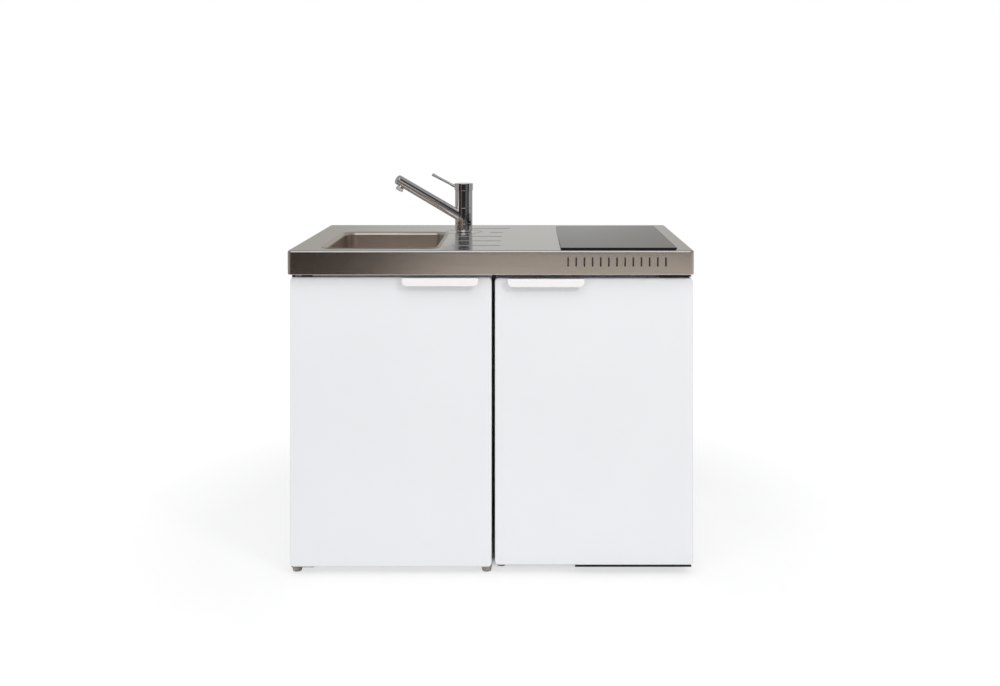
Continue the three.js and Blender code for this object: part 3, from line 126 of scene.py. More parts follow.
# %% Sockets that can be calculated with
class Signal:
    def __init__(self, recipe, socket):
        self.recipe, self.socket = recipe, socket

    def maths(self, operation, *operands, clamp=False):
        settings = {"operation": operation, "use_clamp": clamp}
        return self.recipe.add("ShaderNodeMath", settings, dict(enumerate(operands)))

    def __add__(self, other):
        return self.maths("ADD", self, other)

    def __sub__(self, other):
        return self.maths("SUBTRACT", self, other)

    def __rsub__(self, other):
        return self.maths("SUBTRACT", other, self)

    def __mul__(self, other):
        return self.maths("MULTIPLY", self, other)

    def __truediv__(self, other):
        return self.maths("DIVIDE", self, other)

    __radd__ = __add__

    def band(self, low, high):
        """0 below low, 1 above high, and straight between them; low may be the larger."""
        return ((self - low) / (high - low)).clamped()

    def clamped(self):
        return self.maths("ADD", self, 0.0, clamp=True)

    def root(self):
        return self.maths("SQRT", self)

    def size(self):
        return self.maths("ABSOLUTE", self)


class Recipe:
    """The node tree of a material or the world, written down step by step."""

    def __init__(self, owner):
        owner.use_nodes = True
        self.tree = owner.node_tree
        self.tree.nodes.clear()

    def add(self, kind, settings=None, values=None, output=0):
        node = self.tree.nodes.new(kind)
        for name, value in (settings or {}).items():
            if name == "stops":
                for i, (place, colour) in enumerate(value):
                    ramp = node.color_ramp.elements
                    stop = ramp[i] if i < len(ramp) else ramp.new(place)
                    stop.position, stop.color = place, (*colour, 1)
            else:
                setattr(node, name, value)
        for name, value in (values or {}).items():
            socket = node.inputs[name]
            if isinstance(value, Signal):
                self.tree.links.new(value.socket, socket)
            elif isinstance(value, tuple):
                socket.default_value = (*value, 1)[:len(socket.default_value)]
            else:
                socket.default_value = value
        return Signal(self, node.outputs[output] if node.outputs else None)

    def place(self, stretch=(1, 1, 1)):
        """The point on the object in metres, stretched to suit a pattern."""
        point = self.add("ShaderNodeTexCoord", output="Object")
        return self.add("ShaderNodeMapping", values={"Vector": point, "Scale": stretch})

    def along(self, axis):
        """How far the point lies along X, Y or Z."""
        return self.add("ShaderNodeSeparateXYZ", values={0: self.place()}, output=axis)

    def noise(self, stretch, detail=2.0, roughness=0.5):
        """Noise with about this many blotches to a metre: one number, or one for each axis."""
        point = self.place(stretch if isinstance(stretch, tuple) else (stretch,) * 3)
        values = {"Vector": point, "Scale": 1.0, "Detail": detail, "Roughness": roughness}
        return self.add("ShaderNodeTexNoise", values=values)

    def cells(self, count, output):
        """Voronoi cells, about this many to a metre."""
        values = {"Vector": self.place(), "Scale": count}
        return self.add("ShaderNodeTexVoronoi", values=values, output=output)

    def between(self, amount, first, second):
        """A colour mixed from two colours by amount."""
        values = {0: amount, 6: first, 7: second}
        return self.add("ShaderNodeMix", {"data_type": "RGBA"}, values, output=2)

    def ray(self, kind):
        """1 for rays of one kind, and 0 for all others."""
        return self.add("ShaderNodeLightPath", output=f"Is {kind} Ray")

    def bump(self, height, strength, distance):
        values = {"Height": height, "Strength": strength, "Distance": distance}
        return self.add("ShaderNodeBump", values=values)


print("shader helpers ready")

# %% [markdown]
# ## One way to make a finish
# Every finish here is the same shader with other numbers. What is the same all over a surface is
# set on the shader's own socket, and what varies is handed in as a signal.

# %% A finish
finishes = {}


def finish(name, surface, *numbers, **fixed):
    """A material called name. surface works out the values that vary; fixed gives the others."""
    material = bpy.data.materials.new(name)
    recipe = Recipe(material)
    values = surface(recipe, *numbers)
    for key, value in fixed.items():
        values[key.replace("_", " ").title().replace("Ior", "IOR")] = value
    shader = recipe.add("ShaderNodeBsdfPrincipled", values=values)
    recipe.add("ShaderNodeOutputMaterial", values={"Surface": shader})
    finishes[name] = material


def shaded(share, colour):
    """A colour times a share."""
    return tuple(share * c for c in colour)


print("finish() ready")

# %% [markdown]
# ## Steel
# The worktop is stainless sheet that was brushed along its length, so fine scratches run left to
# right. A noise that is stretched a hundred times along X gives them, and they go into both the
# roughness and a very shallow bump. The bowl was drawn from the same sheet and polished satin,
# which scatters evenly. The hob's tray is zinc plated: duller, with faint crystals.

# %% Steel finishes
def brushed_steel(recipe):
    scratches = recipe.noise((6, 900, 900), detail=3.0, roughness=0.7)
    clouds = recipe.noise((3, 5, 5), detail=1.0)
    return {
        "Base Color": recipe.between(scratches * 0.5 + clouds * 0.3,
                                     (0.68, 0.67, 0.655), (0.78, 0.77, 0.755)),
        "Roughness": 0.12 + scratches * 0.07 + clouds * 0.03,
        "Normal": recipe.bump(scratches, 0.25, 0.0002),
    }


def satin_steel(recipe):
    grain = recipe.noise(700)
    clouds = recipe.noise(14, detail=1.0)
    return {
        "Base Color": recipe.between(clouds, (0.68, 0.61, 0.55), (0.76, 0.69, 0.62)),
        "Roughness": 0.24 + grain * 0.10,
        "Normal": recipe.bump(grain, 0.12, 0.0002),
    }


def zinc_plate(recipe):
    patch = recipe.add("ShaderNodeSeparateColor", values={0: recipe.cells(260, "Color")})
    grain = recipe.noise(500)
    return {
        "Base Color": recipe.between(patch, (0.50, 0.51, 0.52), (0.60, 0.61, 0.62)),
        "Roughness": 0.38 + patch * 0.12 + grain * 0.05,
        "Normal": recipe.bump(grain, 0.1, 0.0002),
    }


finish("brushed_steel", brushed_steel, metallic=1.0)
finish("satin_steel", satin_steel, metallic=1.0)
finish("zinc_plate", zinc_plate, metallic=1.0)
print("steel finishes:", list(finishes))

# %% [markdown]
# ## Chrome, brass and copper
# Chrome is nearly a mirror, and only the faint marks of wiping and water make it look like metal
# and not like a hole in the picture. They are a slow noise in the roughness, with no bump at all.

# %% Bright metals
def wiped(recipe, colour, gloss):
    smears = recipe.noise((40, 40, 90), detail=3.0)
    return {
        "Base Color": recipe.between(smears, shaded(0.94, colour), colour),
        "Roughness": gloss + smears * gloss,
    }


finish("chrome", wiped, (0.80, 0.79, 0.80), 0.035, metallic=1.0)
finish("brass", wiped, (0.76, 0.60, 0.33), 0.16, metallic=1.0)
finish("copper", wiped, (0.78, 0.42, 0.28), 0.15, metallic=1.0)
print("bright metals:", list(finishes)[-3:])

# %% [markdown]
# ## Powder coat and plastics
# The doors and the carcass are steel sheet under a baked powder coat. It is smooth from a step
# away, and from close it has the shallow ripple known as orange peel, about three millimetres from
# crest to crest. The mouldings have a finer grain: the handles and the waste pipes are white, the
# feet are a warm grey, and the fridge's lining is a glossier sheet.

# %% Coated and moulded finishes
def powder_coat(recipe):
    ripple = recipe.noise(330, detail=1.0)
    clouds = recipe.noise(4, detail=1.0)
    return {
        "Base Color": recipe.between(clouds, (0.86, 0.862, 0.875), (0.885, 0.887, 0.90)),
        "Roughness": 0.30 + ripple * 0.08,
        "Normal": recipe.bump(ripple, 0.08, 0.0003),
    }


def moulded(recipe, colour, gloss, grains):
    grain = recipe.noise(grains)
    clouds = recipe.noise(20, detail=1.0)
    return {
        "Base Color": recipe.between(clouds, shaded(0.96, colour), colour),
        "Roughness": gloss + grain * 0.12,
        "Normal": recipe.bump(grain, 0.10, 0.0002),
    }


finish("powder_coat", powder_coat)
finish("handle_plastic", moulded, (0.945, 0.92, 0.92), 0.26, 900)
finish("lining_plastic", moulded, (0.84, 0.86, 0.87), 0.24, 500)
finish("pipe_plastic", moulded, (0.84, 0.845, 0.85), 0.34, 700)
finish("foot_plastic", moulded, (0.40, 0.37, 0.315), 0.48, 1200)
print("coated and moulded finishes ready")

# %% [markdown]
# ## Black glass, black rubber, black enamel
# The hob is one sheet of black glass ceramic. Its underside is dark, so nothing shows but the
# reflection. Two thin grey rings are printed on it, over the heaters, and they are worked out from
# the distance to each heater's middle. The rubbers are matt, and the black enamel of the compressor
# and the hinge brackets is glossier. On the brackets that black is partly their coat and partly
# painted shade, for the dark gaps above and below the doors.

# %% Dark finishes
def middle(node):
    low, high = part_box(node)
    return [(a + b) / 2 for a, b in zip(low, high)]


def black_glass(recipe):
    x, y = recipe.along("X"), recipe.along("Y")
    rings = 0.0
    for node, radius in (("hob_heater_front", 0.0725), ("hob_heater_rear", 0.0905)):
        cx, cy, _ = middle(node)
        away = ((x - cx) * (x - cx) + (y - cy) * (y - cy)).root()
        rings = (away - radius).size().band(0.0011, 0.0007) + rings
    smears = recipe.noise(9, detail=3.0)
    return {
        "Base Color": recipe.between(rings.clamped(),
                                     (0.006, 0.006, 0.006), (0.16, 0.16, 0.165)),
        "Roughness": 0.07 + smears * 0.05 + rings * 0.12,
    }


def rubbery(recipe, colour):
    grain = recipe.noise(900)
    return {
        "Base Color": recipe.between(grain, colour, shaded(1.5, colour)),
        "Roughness": 0.62 + grain * 0.2,
        "Normal": recipe.bump(grain, 0.15, 0.0002),
    }


finish("black_glass", black_glass, ior=1.38)
finish("black_rubber", rubbery, (0.018, 0.018, 0.019))
finish("grey_rubber", rubbery, (0.24, 0.245, 0.25))
# black_enamel also coats the hinge brackets, where its black is partly painted shade for the gaps.
finish("black_enamel", moulded, (0.02, 0.02, 0.021), 0.30, 300)
print("dark finishes ready")

# %% [markdown]
# ## Clear glass and clear plastic
# The shelves are float glass, greenish at the edges. The crisper and the door bins are clear
# polystyrene. Both let light through, so their colour is set by transmission, and slight haze in
# the plastic's roughness tells the two apart.

# %% Clear finishes
def clear(recipe, colour, haze):
    smears = recipe.noise(12)
    return {
        "Base Color": recipe.between(smears, shaded(0.97, colour), colour),
        "Roughness": haze + smears * 0.03,
    }


finish("shelf_glass", clear, (0.88, 0.96, 0.93), 0.01, transmission_weight=0.95, ior=1.5)
finish("clear_plastic", clear, (0.90, 0.94, 0.96), 0.08, transmission_weight=0.85, ior=1.45)
print("clear finishes ready")

# %% [markdown]
# ## Foam and heater felt
# Both are hidden once the unit is closed. The foam is a mass of small bubbles, and the felt that
# carries the heating coils is pressed ceramic fibre.

# %% Hidden finishes
def foamed(recipe):
    bubbles = recipe.cells(420, "Distance")
    return {
        "Base Color": recipe.between(bubbles, (0.72, 0.60, 0.34), (0.86, 0.76, 0.50)),
        "Roughness": 0.85 + bubbles * 0.1,
        "Normal": recipe.bump(bubbles, 0.5, 0.001),
    }


def felted(recipe):
    fibres = recipe.noise((300, 300, 900), detail=4.0, roughness=0.7)
    return {
        "Base Color": recipe.between(fibres, (0.62, 0.59, 0.54), (0.80, 0.78, 0.74)),
        "Roughness": 0.85 + fibres * 0.1,
        "Normal": recipe.bump(fibres, 0.4, 0.0006),
    }


finish("foam", foamed)
finish("heater_felt", felted)
print("finishes in all:", len(finishes))

# %% [markdown]
# ## Dress the solids
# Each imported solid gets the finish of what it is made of. The record groups the solids by material
# slot, so one line for each slot is enough, and none where slot and finish share a name.

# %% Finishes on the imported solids
FINISH_OF_SLOT = {
    "worktop_steel": "brushed_steel",
    "bowl_steel": "satin_steel",
    "drain_plastic": "pipe_plastic",
    "hob_glass": "black_glass",
    "hob_seal": "black_rubber",
    "hob_tray": "zinc_plate",
    "tap_chrome": "chrome",
    "tap_brass": "brass",
    "white_enamel": "powder_coat",
    "liner_plastic": "lining_plastic",
    "gasket_rubber": "grey_rubber",
}
slot_of = {part["node"]: part["material_slot"] for part in frame["record"]["subparts"]}


def finish_of(node):
    return finishes[FINISH_OF_SLOT.get(slot_of[node], slot_of[node])]


for node, solid in frame["nodes"].items():
    solid.data.materials.clear()
    solid.data.materials.append(finish_of(node))
print("dressed", len(frame["nodes"]), "solids")

# %% [markdown]
# ## From a bmesh to a piece
# Every new piece goes through the same last step: normals out, smooth shading except at real edges,
# its finish, the solids that it stands for, and the body that it moves with. Its object stays at
# the origin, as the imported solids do, with its place in its mesh. A solid whose own shape is right
# goes the same way as a copy, with small rounds along its edges.

# %% Finish a piece
MM = 0.001
bodies = frame["record"]["behaviour"]["bodies"]
body_of = {node: body for body, nodes in bodies.items() for node in nodes}


def mesh_of(form, name="shape"):
    """The bmesh as a mesh; the bmesh itself is given back."""
    mesh = bpy.data.meshes.new(name)
    form.to_mesh(mesh)
    form.free()
    return mesh


def weld(form):
    bmesh.ops.remove_doubles(form, verts=form.verts, dist=1e-6)


def face_out(form):
    bmesh.ops.recalc_face_normals(form, faces=form.faces)


def piece(name, form, nodes, surface=None, body=None, crease=35):
    """An object from a bmesh. It replaces the nodes, or only rides with a body if it has none."""
    weld(form)
    face_out(form)
    for face in form.faces:
        face.smooth = True
    for edge in form.edges:
        edge.smooth = len(edge.link_faces) != 2 or edge.calc_face_angle(0) < radians(crease)
    made = placed(name, mesh_of(form, name))
    first = nodes[0] if nodes else None
    made.data.materials.append(finishes[surface] if surface else finish_of(first))
    if nodes:
        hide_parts(*nodes)
    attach(made, body or body_of[first])
    made.modifiers.new("even", "WEIGHTED_NORMAL").keep_sharp = True
    return made


def soften(made, width, segments=2):
    """Rounds along a piece's sharp edges, width millimetres, with flat faces kept flat."""
    bevel = made.modifiers.new("rounds", "BEVEL")
    bevel.width, bevel.segments = width * MM, segments
    bevel.limit_method, bevel.angle_limit = "ANGLE", radians(40)
    bevel.harden_normals = True


def soft_copy(name, node, width, segments=2):
    """A piece with the solid's own shape: merged, its flat faces in one, and softened."""
    form = bmesh.new()
    form.from_mesh(frame["nodes"][node].data)
    weld(form)
    bmesh.ops.dissolve_limit(form, angle_limit=radians(0.5), verts=form.verts, edges=form.edges)
    soften(piece(name, form, [node]), width, segments)


print("bodies:", sorted(bodies))

# %% [markdown]
# ## Forms that come up again and again
# A slab with rounded corners starts as a cube, whose upright edges and then whose rims are
# bevelled. A turned part is an open outline that is spun round an axis. A cut is a Boolean that is
# worked out at once, which leaves a plain mesh. Places are in metres, and radii in millimetres.

# %% Slabs and turned parts
NEAR = 1e-5


def round_off(form, edges, radius, steps):
    """Rounds the edges by a radius in millimetres."""
    bmesh.ops.bevel(form, geom=edges, offset=radius * MM, offset_type="OFFSET", segments=steps,
                    profile=0.5, affect="EDGES", material=-1, clamp_overlap=True)


def slab(low, high, corner=0, rim=0, foot=0, axis=2, steps=6):
    """A block between two corners. The radii, in millimetres, are for the edges along axis, for the
    high end's rim and for the low end's foot."""
    form = bmesh.new()
    bmesh.ops.create_cube(form, size=1)
    bmesh.ops.scale(form, vec=[b - a for a, b in zip(low, high)], verts=form.verts)
    bmesh.ops.translate(form, vec=[(a + b) / 2 for a, b in zip(low, high)], verts=form.verts)
    if corner:
        long = [e for e in form.edges
                if abs((e.verts[0].co - e.verts[1].co).normalized()[axis]) > 0.9]
        round_off(form, long, corner, steps)
    for radius, level in ((rim, high[axis]), (foot, low[axis])):
        if radius:
            ring = [e for e in form.edges if all(abs(v.co[axis] - level) < NEAR for v in e.verts)]
            round_off(form, ring, radius, 4)
    return form


def moved(corner, *by):
    """A corner moved by millimetres along each axis."""
    return [c + d * MM for c, d in zip(corner, by)]


def grown(box, *by):
    """The two corners of a box, moved apart by millimetres at each end of each axis."""
    return moved(box[0], *[-d for d in by]), moved(box[1], *by)


def turned(outline, at, direction=(0, 0, 1), steps=48):
    """Spins an outline of (radius, height) points round an axis through at."""
    form = bmesh.new()
    points = [form.verts.new((radius, 0, height)) for radius, height in outline]
    edges = [form.edges.new(pair) for pair in zip(points, points[1:])]
    bmesh.ops.spin(form, geom=points + edges, cent=(0, 0, 0), axis=(0, 0, 1), angle=2 * pi,
                   steps=steps, use_merge=True)
    weld(form)
    turn = Vector((0, 0, 1)).rotation_difference(Vector(direction).normalized())
    matrix = Matrix.Translation(at) @ turn.to_matrix().to_4x4()
    bmesh.ops.transform(form, matrix=matrix, verts=form.verts)
    face_out(form)
    return form


def mm(*points):
    return [(r * MM, z * MM) for r, z in points]


def curved(points, reach_of, most, steps):
    """The path through the points, with an arc at each inner one that begins reach_of before it."""
    path = [points[0]]
    for before, corner, after in zip(points, points[1:], points[2:]):
        back, on = before - corner, after - corner
        reach = min(reach_of(back, on), back.length * most, on.length * most)
        start, end = corner + back.normalized() * reach, corner + on.normalized() * reach
        for i in range(steps + 1):
            t = i / steps
            path.append(start * (1 - t) ** 2 + corner * 2 * t * (1 - t) + end * t ** 2)
    return path + [points[-1]]


def spun(at, *points, soft=0.6, direction=(0, 0, 1), steps=48):
    """A turned part from points in millimetres, its inner corners rounded by soft millimetres."""
    path = curved([Vector((*p, 0)) for p in mm(*points)], lambda back, on: soft * MM, 0.4, 2)
    return turned([point.xy for point in path], at, direction, steps)


def ring_of(count, radius, centre):
    """Places spread evenly round a circle."""
    angles = [2 * pi * i / count for i in range(count)]
    return [(centre[0] + radius * cos(a), centre[1] + radius * sin(a)) for a in angles]


print("slabs and turned parts ready")

# %% Cuts and joins
def merged(*forms):
    """Several bmeshes in one."""
    whole = bmesh.new()
    for form in forms:
        shape = mesh_of(form)
        whole.from_mesh(shape)
        bpy.data.meshes.remove(shape)
    return whole


def cut(form, tool, operation="DIFFERENCE"):
    """Cuts one bmesh with another, or joins the two."""
    face_out(form)
    face_out(tool)
    whole, cutter = [placed("shape", mesh_of(one)) for one in (form, tool)]
    boolean = whole.modifiers.new("cut", "BOOLEAN")
    boolean.operation, boolean.object, boolean.solver = operation, cutter, "EXACT"
    bpy.context.view_layer.update()
    result = bmesh.new()
    result.from_mesh(whole.evaluated_get(bpy.context.evaluated_depsgraph_get()).data)
    for holder in (whole, cutter):
        bpy.data.meshes.remove(holder.data)
    weld(result)
    return result


print("cuts and joins ready")

# %% [markdown]
# ## The worktop
# On the real unit this is one sheet: pressed with drainer grooves and a ring round the tap, folded
# down at the edges, and punched for the bowl, the hob, the tap and a row of cooling slots. The
# outer skin and the hollow under it are two rounded slabs, one cut from the other, and every groove
# is the bottom of a long round-ended bar. The same bar, made fatter by the sheet's thickness, is
# first taken out of the hollow, so the groove keeps its wall.

# %% Worktop
SHEET, HEM = 1.2, 18
low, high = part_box("worktop")
top, under = high[2], low[2]
skin = slab(low, high, corner=10, rim=5, foot=1.5)
hollow = slab(*grown((low, high), -SHEET, -SHEET, -SHEET), corner=8.8, rim=3.8, foot=0.5)
mouth = slab(moved(low, HEM, HEM, -1), moved((*high[:2], under), -HEM, -HEM, 3), corner=4, steps=3)

tap_at = middle("tap_body")
GROOVE, GROOVE_DEPTH, GROOVE_PITCH = 10 * MM, 2.2 * MM, 100 * MM
BEAD, BEAD_RING, CLEAR_OF_TAP = 6 * MM, 50 * MM, 70 * MM
grooves = []
for i in range(5):
    y = low[1] + GROOVE_PITCH * (i + 1)
    beside_tap = abs(y - tap_at[1]) < CLEAR_OF_TAP
    x0 = tap_at[0] + CLEAR_OF_TAP if beside_tap else low[0] + 395 * MM
    x1 = low[0] + (545 if i == 4 else 525) * MM
    grooves.append((x0, x1, y))


def pressed(grow):
    """The bars whose undersides press the grooves, and the ring that presses the bead."""
    radius, bead = GROOVE + grow, BEAD + grow
    ends = [(radius * sin(i * pi / 16), -radius * cos(i * pi / 16)) for i in range(9)]
    bars = []
    for x0, x1, y in grooves:
        length = x1 - x0 - 2 * GROOVE
        outline = ends + [(r, length - z) for r, z in reversed(ends)]
        start = x0 + GROOVE, y, top + GROOVE - GROOVE_DEPTH
        bars.append(turned(outline, start, (1, 0, 0), steps=40))
    circle = [(BEAD_RING + bead * cos(i * pi / 12), bead * sin(i * pi / 12)) for i in range(25)]
    bars.append(turned(circle, (*tap_at[:2], top + BEAD - GROOVE_DEPTH / 2), steps=64))
    return merged(*bars)


hollow = cut(cut(hollow, pressed(SHEET * MM)), mouth, "UNION")
sheet = cut(cut(skin, hollow), pressed(0))
print("pressed:", len(sheet.faces), "faces,", round(sheet.calc_volume() * 1e6), "cm3 of steel")

# %% [markdown]
# The holes come last. The bowl's has its large corners, the hob's is square, the tap's is round,
# and the slots are thirteen round-ended uprights, four millimetres wide.

# %% Holes in the worktop
SLOTS, SLOT_PITCH, SLOTS_FROM_RIGHT = 13, 20 * MM, 190 * MM
bowl_low, bowl_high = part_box("sink_bowl")
foot_at = (*tap_at[:2], top)


def through_sheet(box, gap, **rounds):
    """A block with a box's outline, a gap larger all round, that passes through the sheet."""
    (x0, y0, _), (x1, y1, _) = grown(box, gap, gap, 0)
    return slab([x0, y0, top - 5 * MM], [x1, y1, top + 3 * MM], **rounds)


bowl_hole = through_sheet((bowl_low, bowl_high), 0.3, corner=40.3, steps=16)
hob_hole = through_sheet(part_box("hob_casing"), 1)
tap_hole = turned(mm((0, -6), (16.6, -6), (16.6, 2), (0, 2)), foot_at)
slots = []
for i in range(SLOTS):
    at = high[0] - SLOTS_FROM_RIGHT + (i - (SLOTS - 1) / 2) * SLOT_PITCH, low[1], top
    slots.append(slab(moved(at, -2, -2, -39.5), moved(at, 2, 4, -16.5),
                      corner=1.95, axis=1, steps=4))
sheet = cut(sheet, merged(bowl_hole, hob_hole, tap_hole, *slots))
print("slots:", len(slots), "and", round(sheet.calc_volume() * 1e6), "cm3 of steel left")
piece("pressed_worktop", sheet, ["worktop"])

# %% [markdown]
# ## The bowl
# A drawn bowl has no sharp edge anywhere: the walls lean in a little, the floor runs into them in a
# wide curve, and the rim rolls over to a narrow land that lies level with the worktop. The form is
# a cube with its upright edges rounded, open at the top; the rim is pulled outwards from the open
# edge and the two corners that this leaves, at floor and rim, are rounded in turn. Solidify gives
# the sheet its thickness, on the outside.

# %% Sink bowl
DEPTH, LAND, LEAN = 140 * MM, 10 * MM, 6.1 * MM
floor = bowl_high[2] - DEPTH
walls = [a + LAND for a in bowl_low[:2]], [b - LAND for b in bowl_high[:2]]
bowl = slab([*walls[0], floor], [*walls[1], top], corner=30, steps=16)
centre = [(a + b) / 2 for a, b in zip(*walls)]
about_centre = Matrix.Translation((-centre[0], -centre[1], 0))
narrow = 1 - 2 * LEAN / (walls[1][0] - walls[0][0])
foot = [v for v in bowl.verts if v.co.z < floor + NEAR]
bmesh.ops.scale(bowl, vec=(narrow, narrow, 1), verts=foot, space=about_centre)
lid = [f for f in bowl.faces if f.calc_center_median().z > top - NEAR]
bmesh.ops.delete(bowl, geom=lid, context="FACES_ONLY")
rim = [e for e in bowl.edges if e.is_boundary]
pulled = bmesh.ops.extrude_edge_only(bowl, edges=rim)["geom"]
wide = [1 + 2 * LAND / (b - a) for a, b in zip(*walls)]
outer = [g for g in pulled if isinstance(g, bmesh.types.BMVert)]
bmesh.ops.scale(bowl, vec=(*wide, 1), verts=outer, space=about_centre)
roll = [e for e in bowl.edges if not e.is_boundary and all(v.co.z > top - NEAR for v in e.verts)
        and abs(e.link_faces[0].normal.z - e.link_faces[1].normal.z) > 0.5]
round_off(bowl, roll, 7.9, 6)
base = [e for e in bowl.edges if all(v.co.z < floor + NEAR for v in e.verts)]
round_off(bowl, base, 18, 8)
face_out(bowl)
bmesh.ops.solidify(bowl, geom=bowl.faces, thickness=-1 * MM)
drain_at = (centre[0], centre[1], floor)
bowl = cut(bowl, turned(mm((0, -4), (45, -4), (45, 4), (0, 4)), drain_at))
drawn = piece("drawn_bowl", bowl, ["sink_bowl"])
print("bowl:", len(drawn.data.polygons), "faces, box", [metres(c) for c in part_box("sink_bowl")],
      "against", metres(drawn.dimensions))

# %% [markdown]
# ## Waste and strainer
# Both are spun steel. The waste is a flanged cup with a tail, and the strainer is a shallow basket
# with a knob in its middle to lift it by. Its holes lie in three rings and are punched in one cut.

# %% Waste and strainer
waste = spun(drain_at, (23, -76), (25, -76), (25, -42), (41, -40), (44, 0), (56, 0), (56, 0.8),
             (53, 1.6), (44, 1.6), (42, 0), (39, -38), (23, -40), (23, -76))
piece("spun_waste", waste, ["waste_body"])

basket = spun(drain_at, (0, -26), (30, -26), (36, -22), (38, 1.9), (45, 1.9), (45, 3.1), (38, 3.1),
              (36.8, 0), (34.8, -21), (29, -24.8), (5, -24.8), (4, -10), (8, -4), (8, 0), (5, 2),
              (0, 2))
pin = mm((0, -28), (1.5, -28), (1.5, -22), (0, -22))
punches = [turned(pin, (x, y, floor), steps=10) for radius, count in ((12, 8), (18, 14), (24, 20))
           for x, y in ring_of(count, radius * MM, drain_at)]
piece("strainer", cut(basket, merged(*punches)), ["strainer_basket"])
print("strainer holes:", len(punches))

# %% [markdown]
# ## The trap under the sink
# A bottle trap in white plastic: a head with the dip pipe, a cup that screws on from below, and a
# pipe to the wall with its nut. Seen through the open door they are the busiest thing in the
# cupboard, so the cup gets the ribs that fingers grip and the nut gets flats.

# %% Trap
RIB, RIBS = 1.7 * MM, 24
TO_WALL = (0, 1, 0)
tail_z = floor - 76 * MM
trap_at = (*drain_at[:2], tail_z)
outlet_at = (*drain_at[:2], middle("waste_outlet_pipe")[2])
cup_low, cup_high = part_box("trap_cup")
body_low, body_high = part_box("trap_body")
pipe_low, pipe_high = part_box("waste_outlet_pipe")
body_foot, cup_foot, cup_top = [(z - tail_z) / MM for z in (body_low[2], cup_low[2], cup_high[2])]
head = spun(trap_at, (28.7, -76), (31.2, -76), (31.2, -66), (34, -66), (34, -26), (31, -22),
            (31, 16), (25.3, 16), (25.3, -0.3), (12.5, -0.3), (12.5, body_foot), (15, body_foot),
            (15, -24), (28.7, -24), (28.7, -76), soft=0.8)
arm = turned(mm((0, 24), (20, 24), (20, 60), (17.5, 60), (17.5, 30), (0, 30)), outlet_at, TO_WALL)
piece("trap_head", merged(head, arm), ["trap_body"])
cup = spun(trap_at, (0, cup_foot), (24, cup_foot), (30, cup_foot + 5), (32.4, cup_foot + 14),
           (32.4, cup_top), (31.5, cup_top), (31.5, cup_foot + 15), (28.5, cup_foot + 8),
           (23, cup_foot + 2.5), (0, cup_foot + 2.5), soft=1.5)
rib_low, rib_high = cup_high[2] - 34 * MM, cup_high[2] - 2 * MM
rib = [(0, rib_low), (RIB * 0.6, rib_low), (RIB, rib_low + RIB),
       (RIB, rib_high - RIB), (RIB * 0.6, rib_high), (0, rib_high)]
ribs = [turned(rib, (x, y, 0), steps=8) for x, y in ring_of(RIBS, 32.2 * MM, trap_at)]
piece("trap_bottle", merged(cup, *ribs), ["trap_cup"])

reach = (pipe_high[1] - trap_at[1]) / MM
pipe = spun(outlet_at, (17.5, 60.3), (20, 60.3), (20, reach), (17.5, reach), (17.5, 60.3),
            direction=TO_WALL)
nut = spun(outlet_at, (20.3, 46), (26, 46), (27, 48), (27, 66), (24, 70), (20, 70),
           soft=1, direction=TO_WALL, steps=12)
piece("outlet_pipe", merged(pipe, nut), ["waste_outlet_pipe"], crease=28)
print("trap from", round(cup_low[2], 3), "to", round(body_high[2], 3))

# %% [markdown]
# ## The hob
# The glass is a plain slab with a ground edge. It stands six millimetres proud on its seal, and its
# dark front edge is what the photograph shows as a thin black line, so the edge's round is small.

# %% Hob glass and seal
glass = slab(*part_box("hob_glass"), corner=4)
soften(piece("hob_plate", glass, ["hob_glass"]), 0.8, 3)
seal_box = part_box("hob_gasket")
seal = slab(*grown(seal_box, -0.2, -0.2, 0), corner=3)
opening = slab(*grown(seal_box, -5, -5, 1))
piece("hob_seal_strip", cut(seal, opening), ["hob_gasket"])
soft_copy("hob_tray", "hob_casing", 0.4)
for node in ("hob_heater_front", "hob_heater_rear"):
    x, y, _ = middle(node)
    heater_low, heater_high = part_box(node)
    radius = (heater_high[0] - heater_low[0]) / 2 / MM
    heater = spun((x, y, heater_low[2]), (0, 0), (14, 0), (14, 22.7), (radius - 5, 22.7),
                  (radius, 27.7), (radius, 46.7), (radius - 9, 46.7), (radius - 10, 39.7),
                  (0, 39.7), soft=1)
    piece(node.replace("hob_", "felt_"), heater, [node])
print("hob dressed")

# %% [markdown]
# ## The tap
# A single-lever mixer: a stack of chromed cylinders on one shank. From below: a ring on a small
# flange, the ring that the spout swings on, the body, and the cap that carries the lever. The fine
# dark seams between them are what makes the stack readable, so each cylinder has a small round at
# both ends and a real gap to the next.

# %% Tap body and cap
ring = spun(foot_at, (16.6, 0), (20.5, 0), (23, 2), (24.5, 6), (24.5, 24.5), (16.6, 24.5),
            (16.6, 0), soft=0.9, steps=64)
piece("base_ring", ring, ["tap_base_ring"])
stem = spun(foot_at, (0, -42), (16, -42), (16, 68.7), (24.5, 68.7), (24.5, 118), (0, 118),
            soft=0.9, steps=64)
piece("tap_column", stem, ["tap_body"])
cap = spun(foot_at, (0, 122.3), (4, 122.3), (4, 134.4), (24.8, 134.4), (24.8, 118.3), (26, 118.3),
           (26, 137.4), (0, 137.6), soft=1.4, steps=64)
lever_rise = radians(28)
lever_way = Vector((-cos(lever_rise), 0, sin(lever_rise)))
lever_foot = Vector(moved(foot_at, -26, 0, 129)) - lever_way * (4 * MM)
socket = turned(mm((0, -3), (4.5, -3), (4.5, 12), (0, 12)), lever_foot, lever_way)
piece("tap_hood", cut(cap, socket), ["tap_cap"])
rod = spun(lever_foot, (0, 0), (3.9, 0), (4.2, 8), (3.4, 20), (3.7, 60), (4.2, 70), (4.2, 74.2),
           (3, 75.5), (0, 75.5), soft=0.8, direction=lever_way, steps=32)
piece("lever_rod", rod, ["tap_lever"])
soft_copy("clamp_nut", "tap_backnut", 0.5)
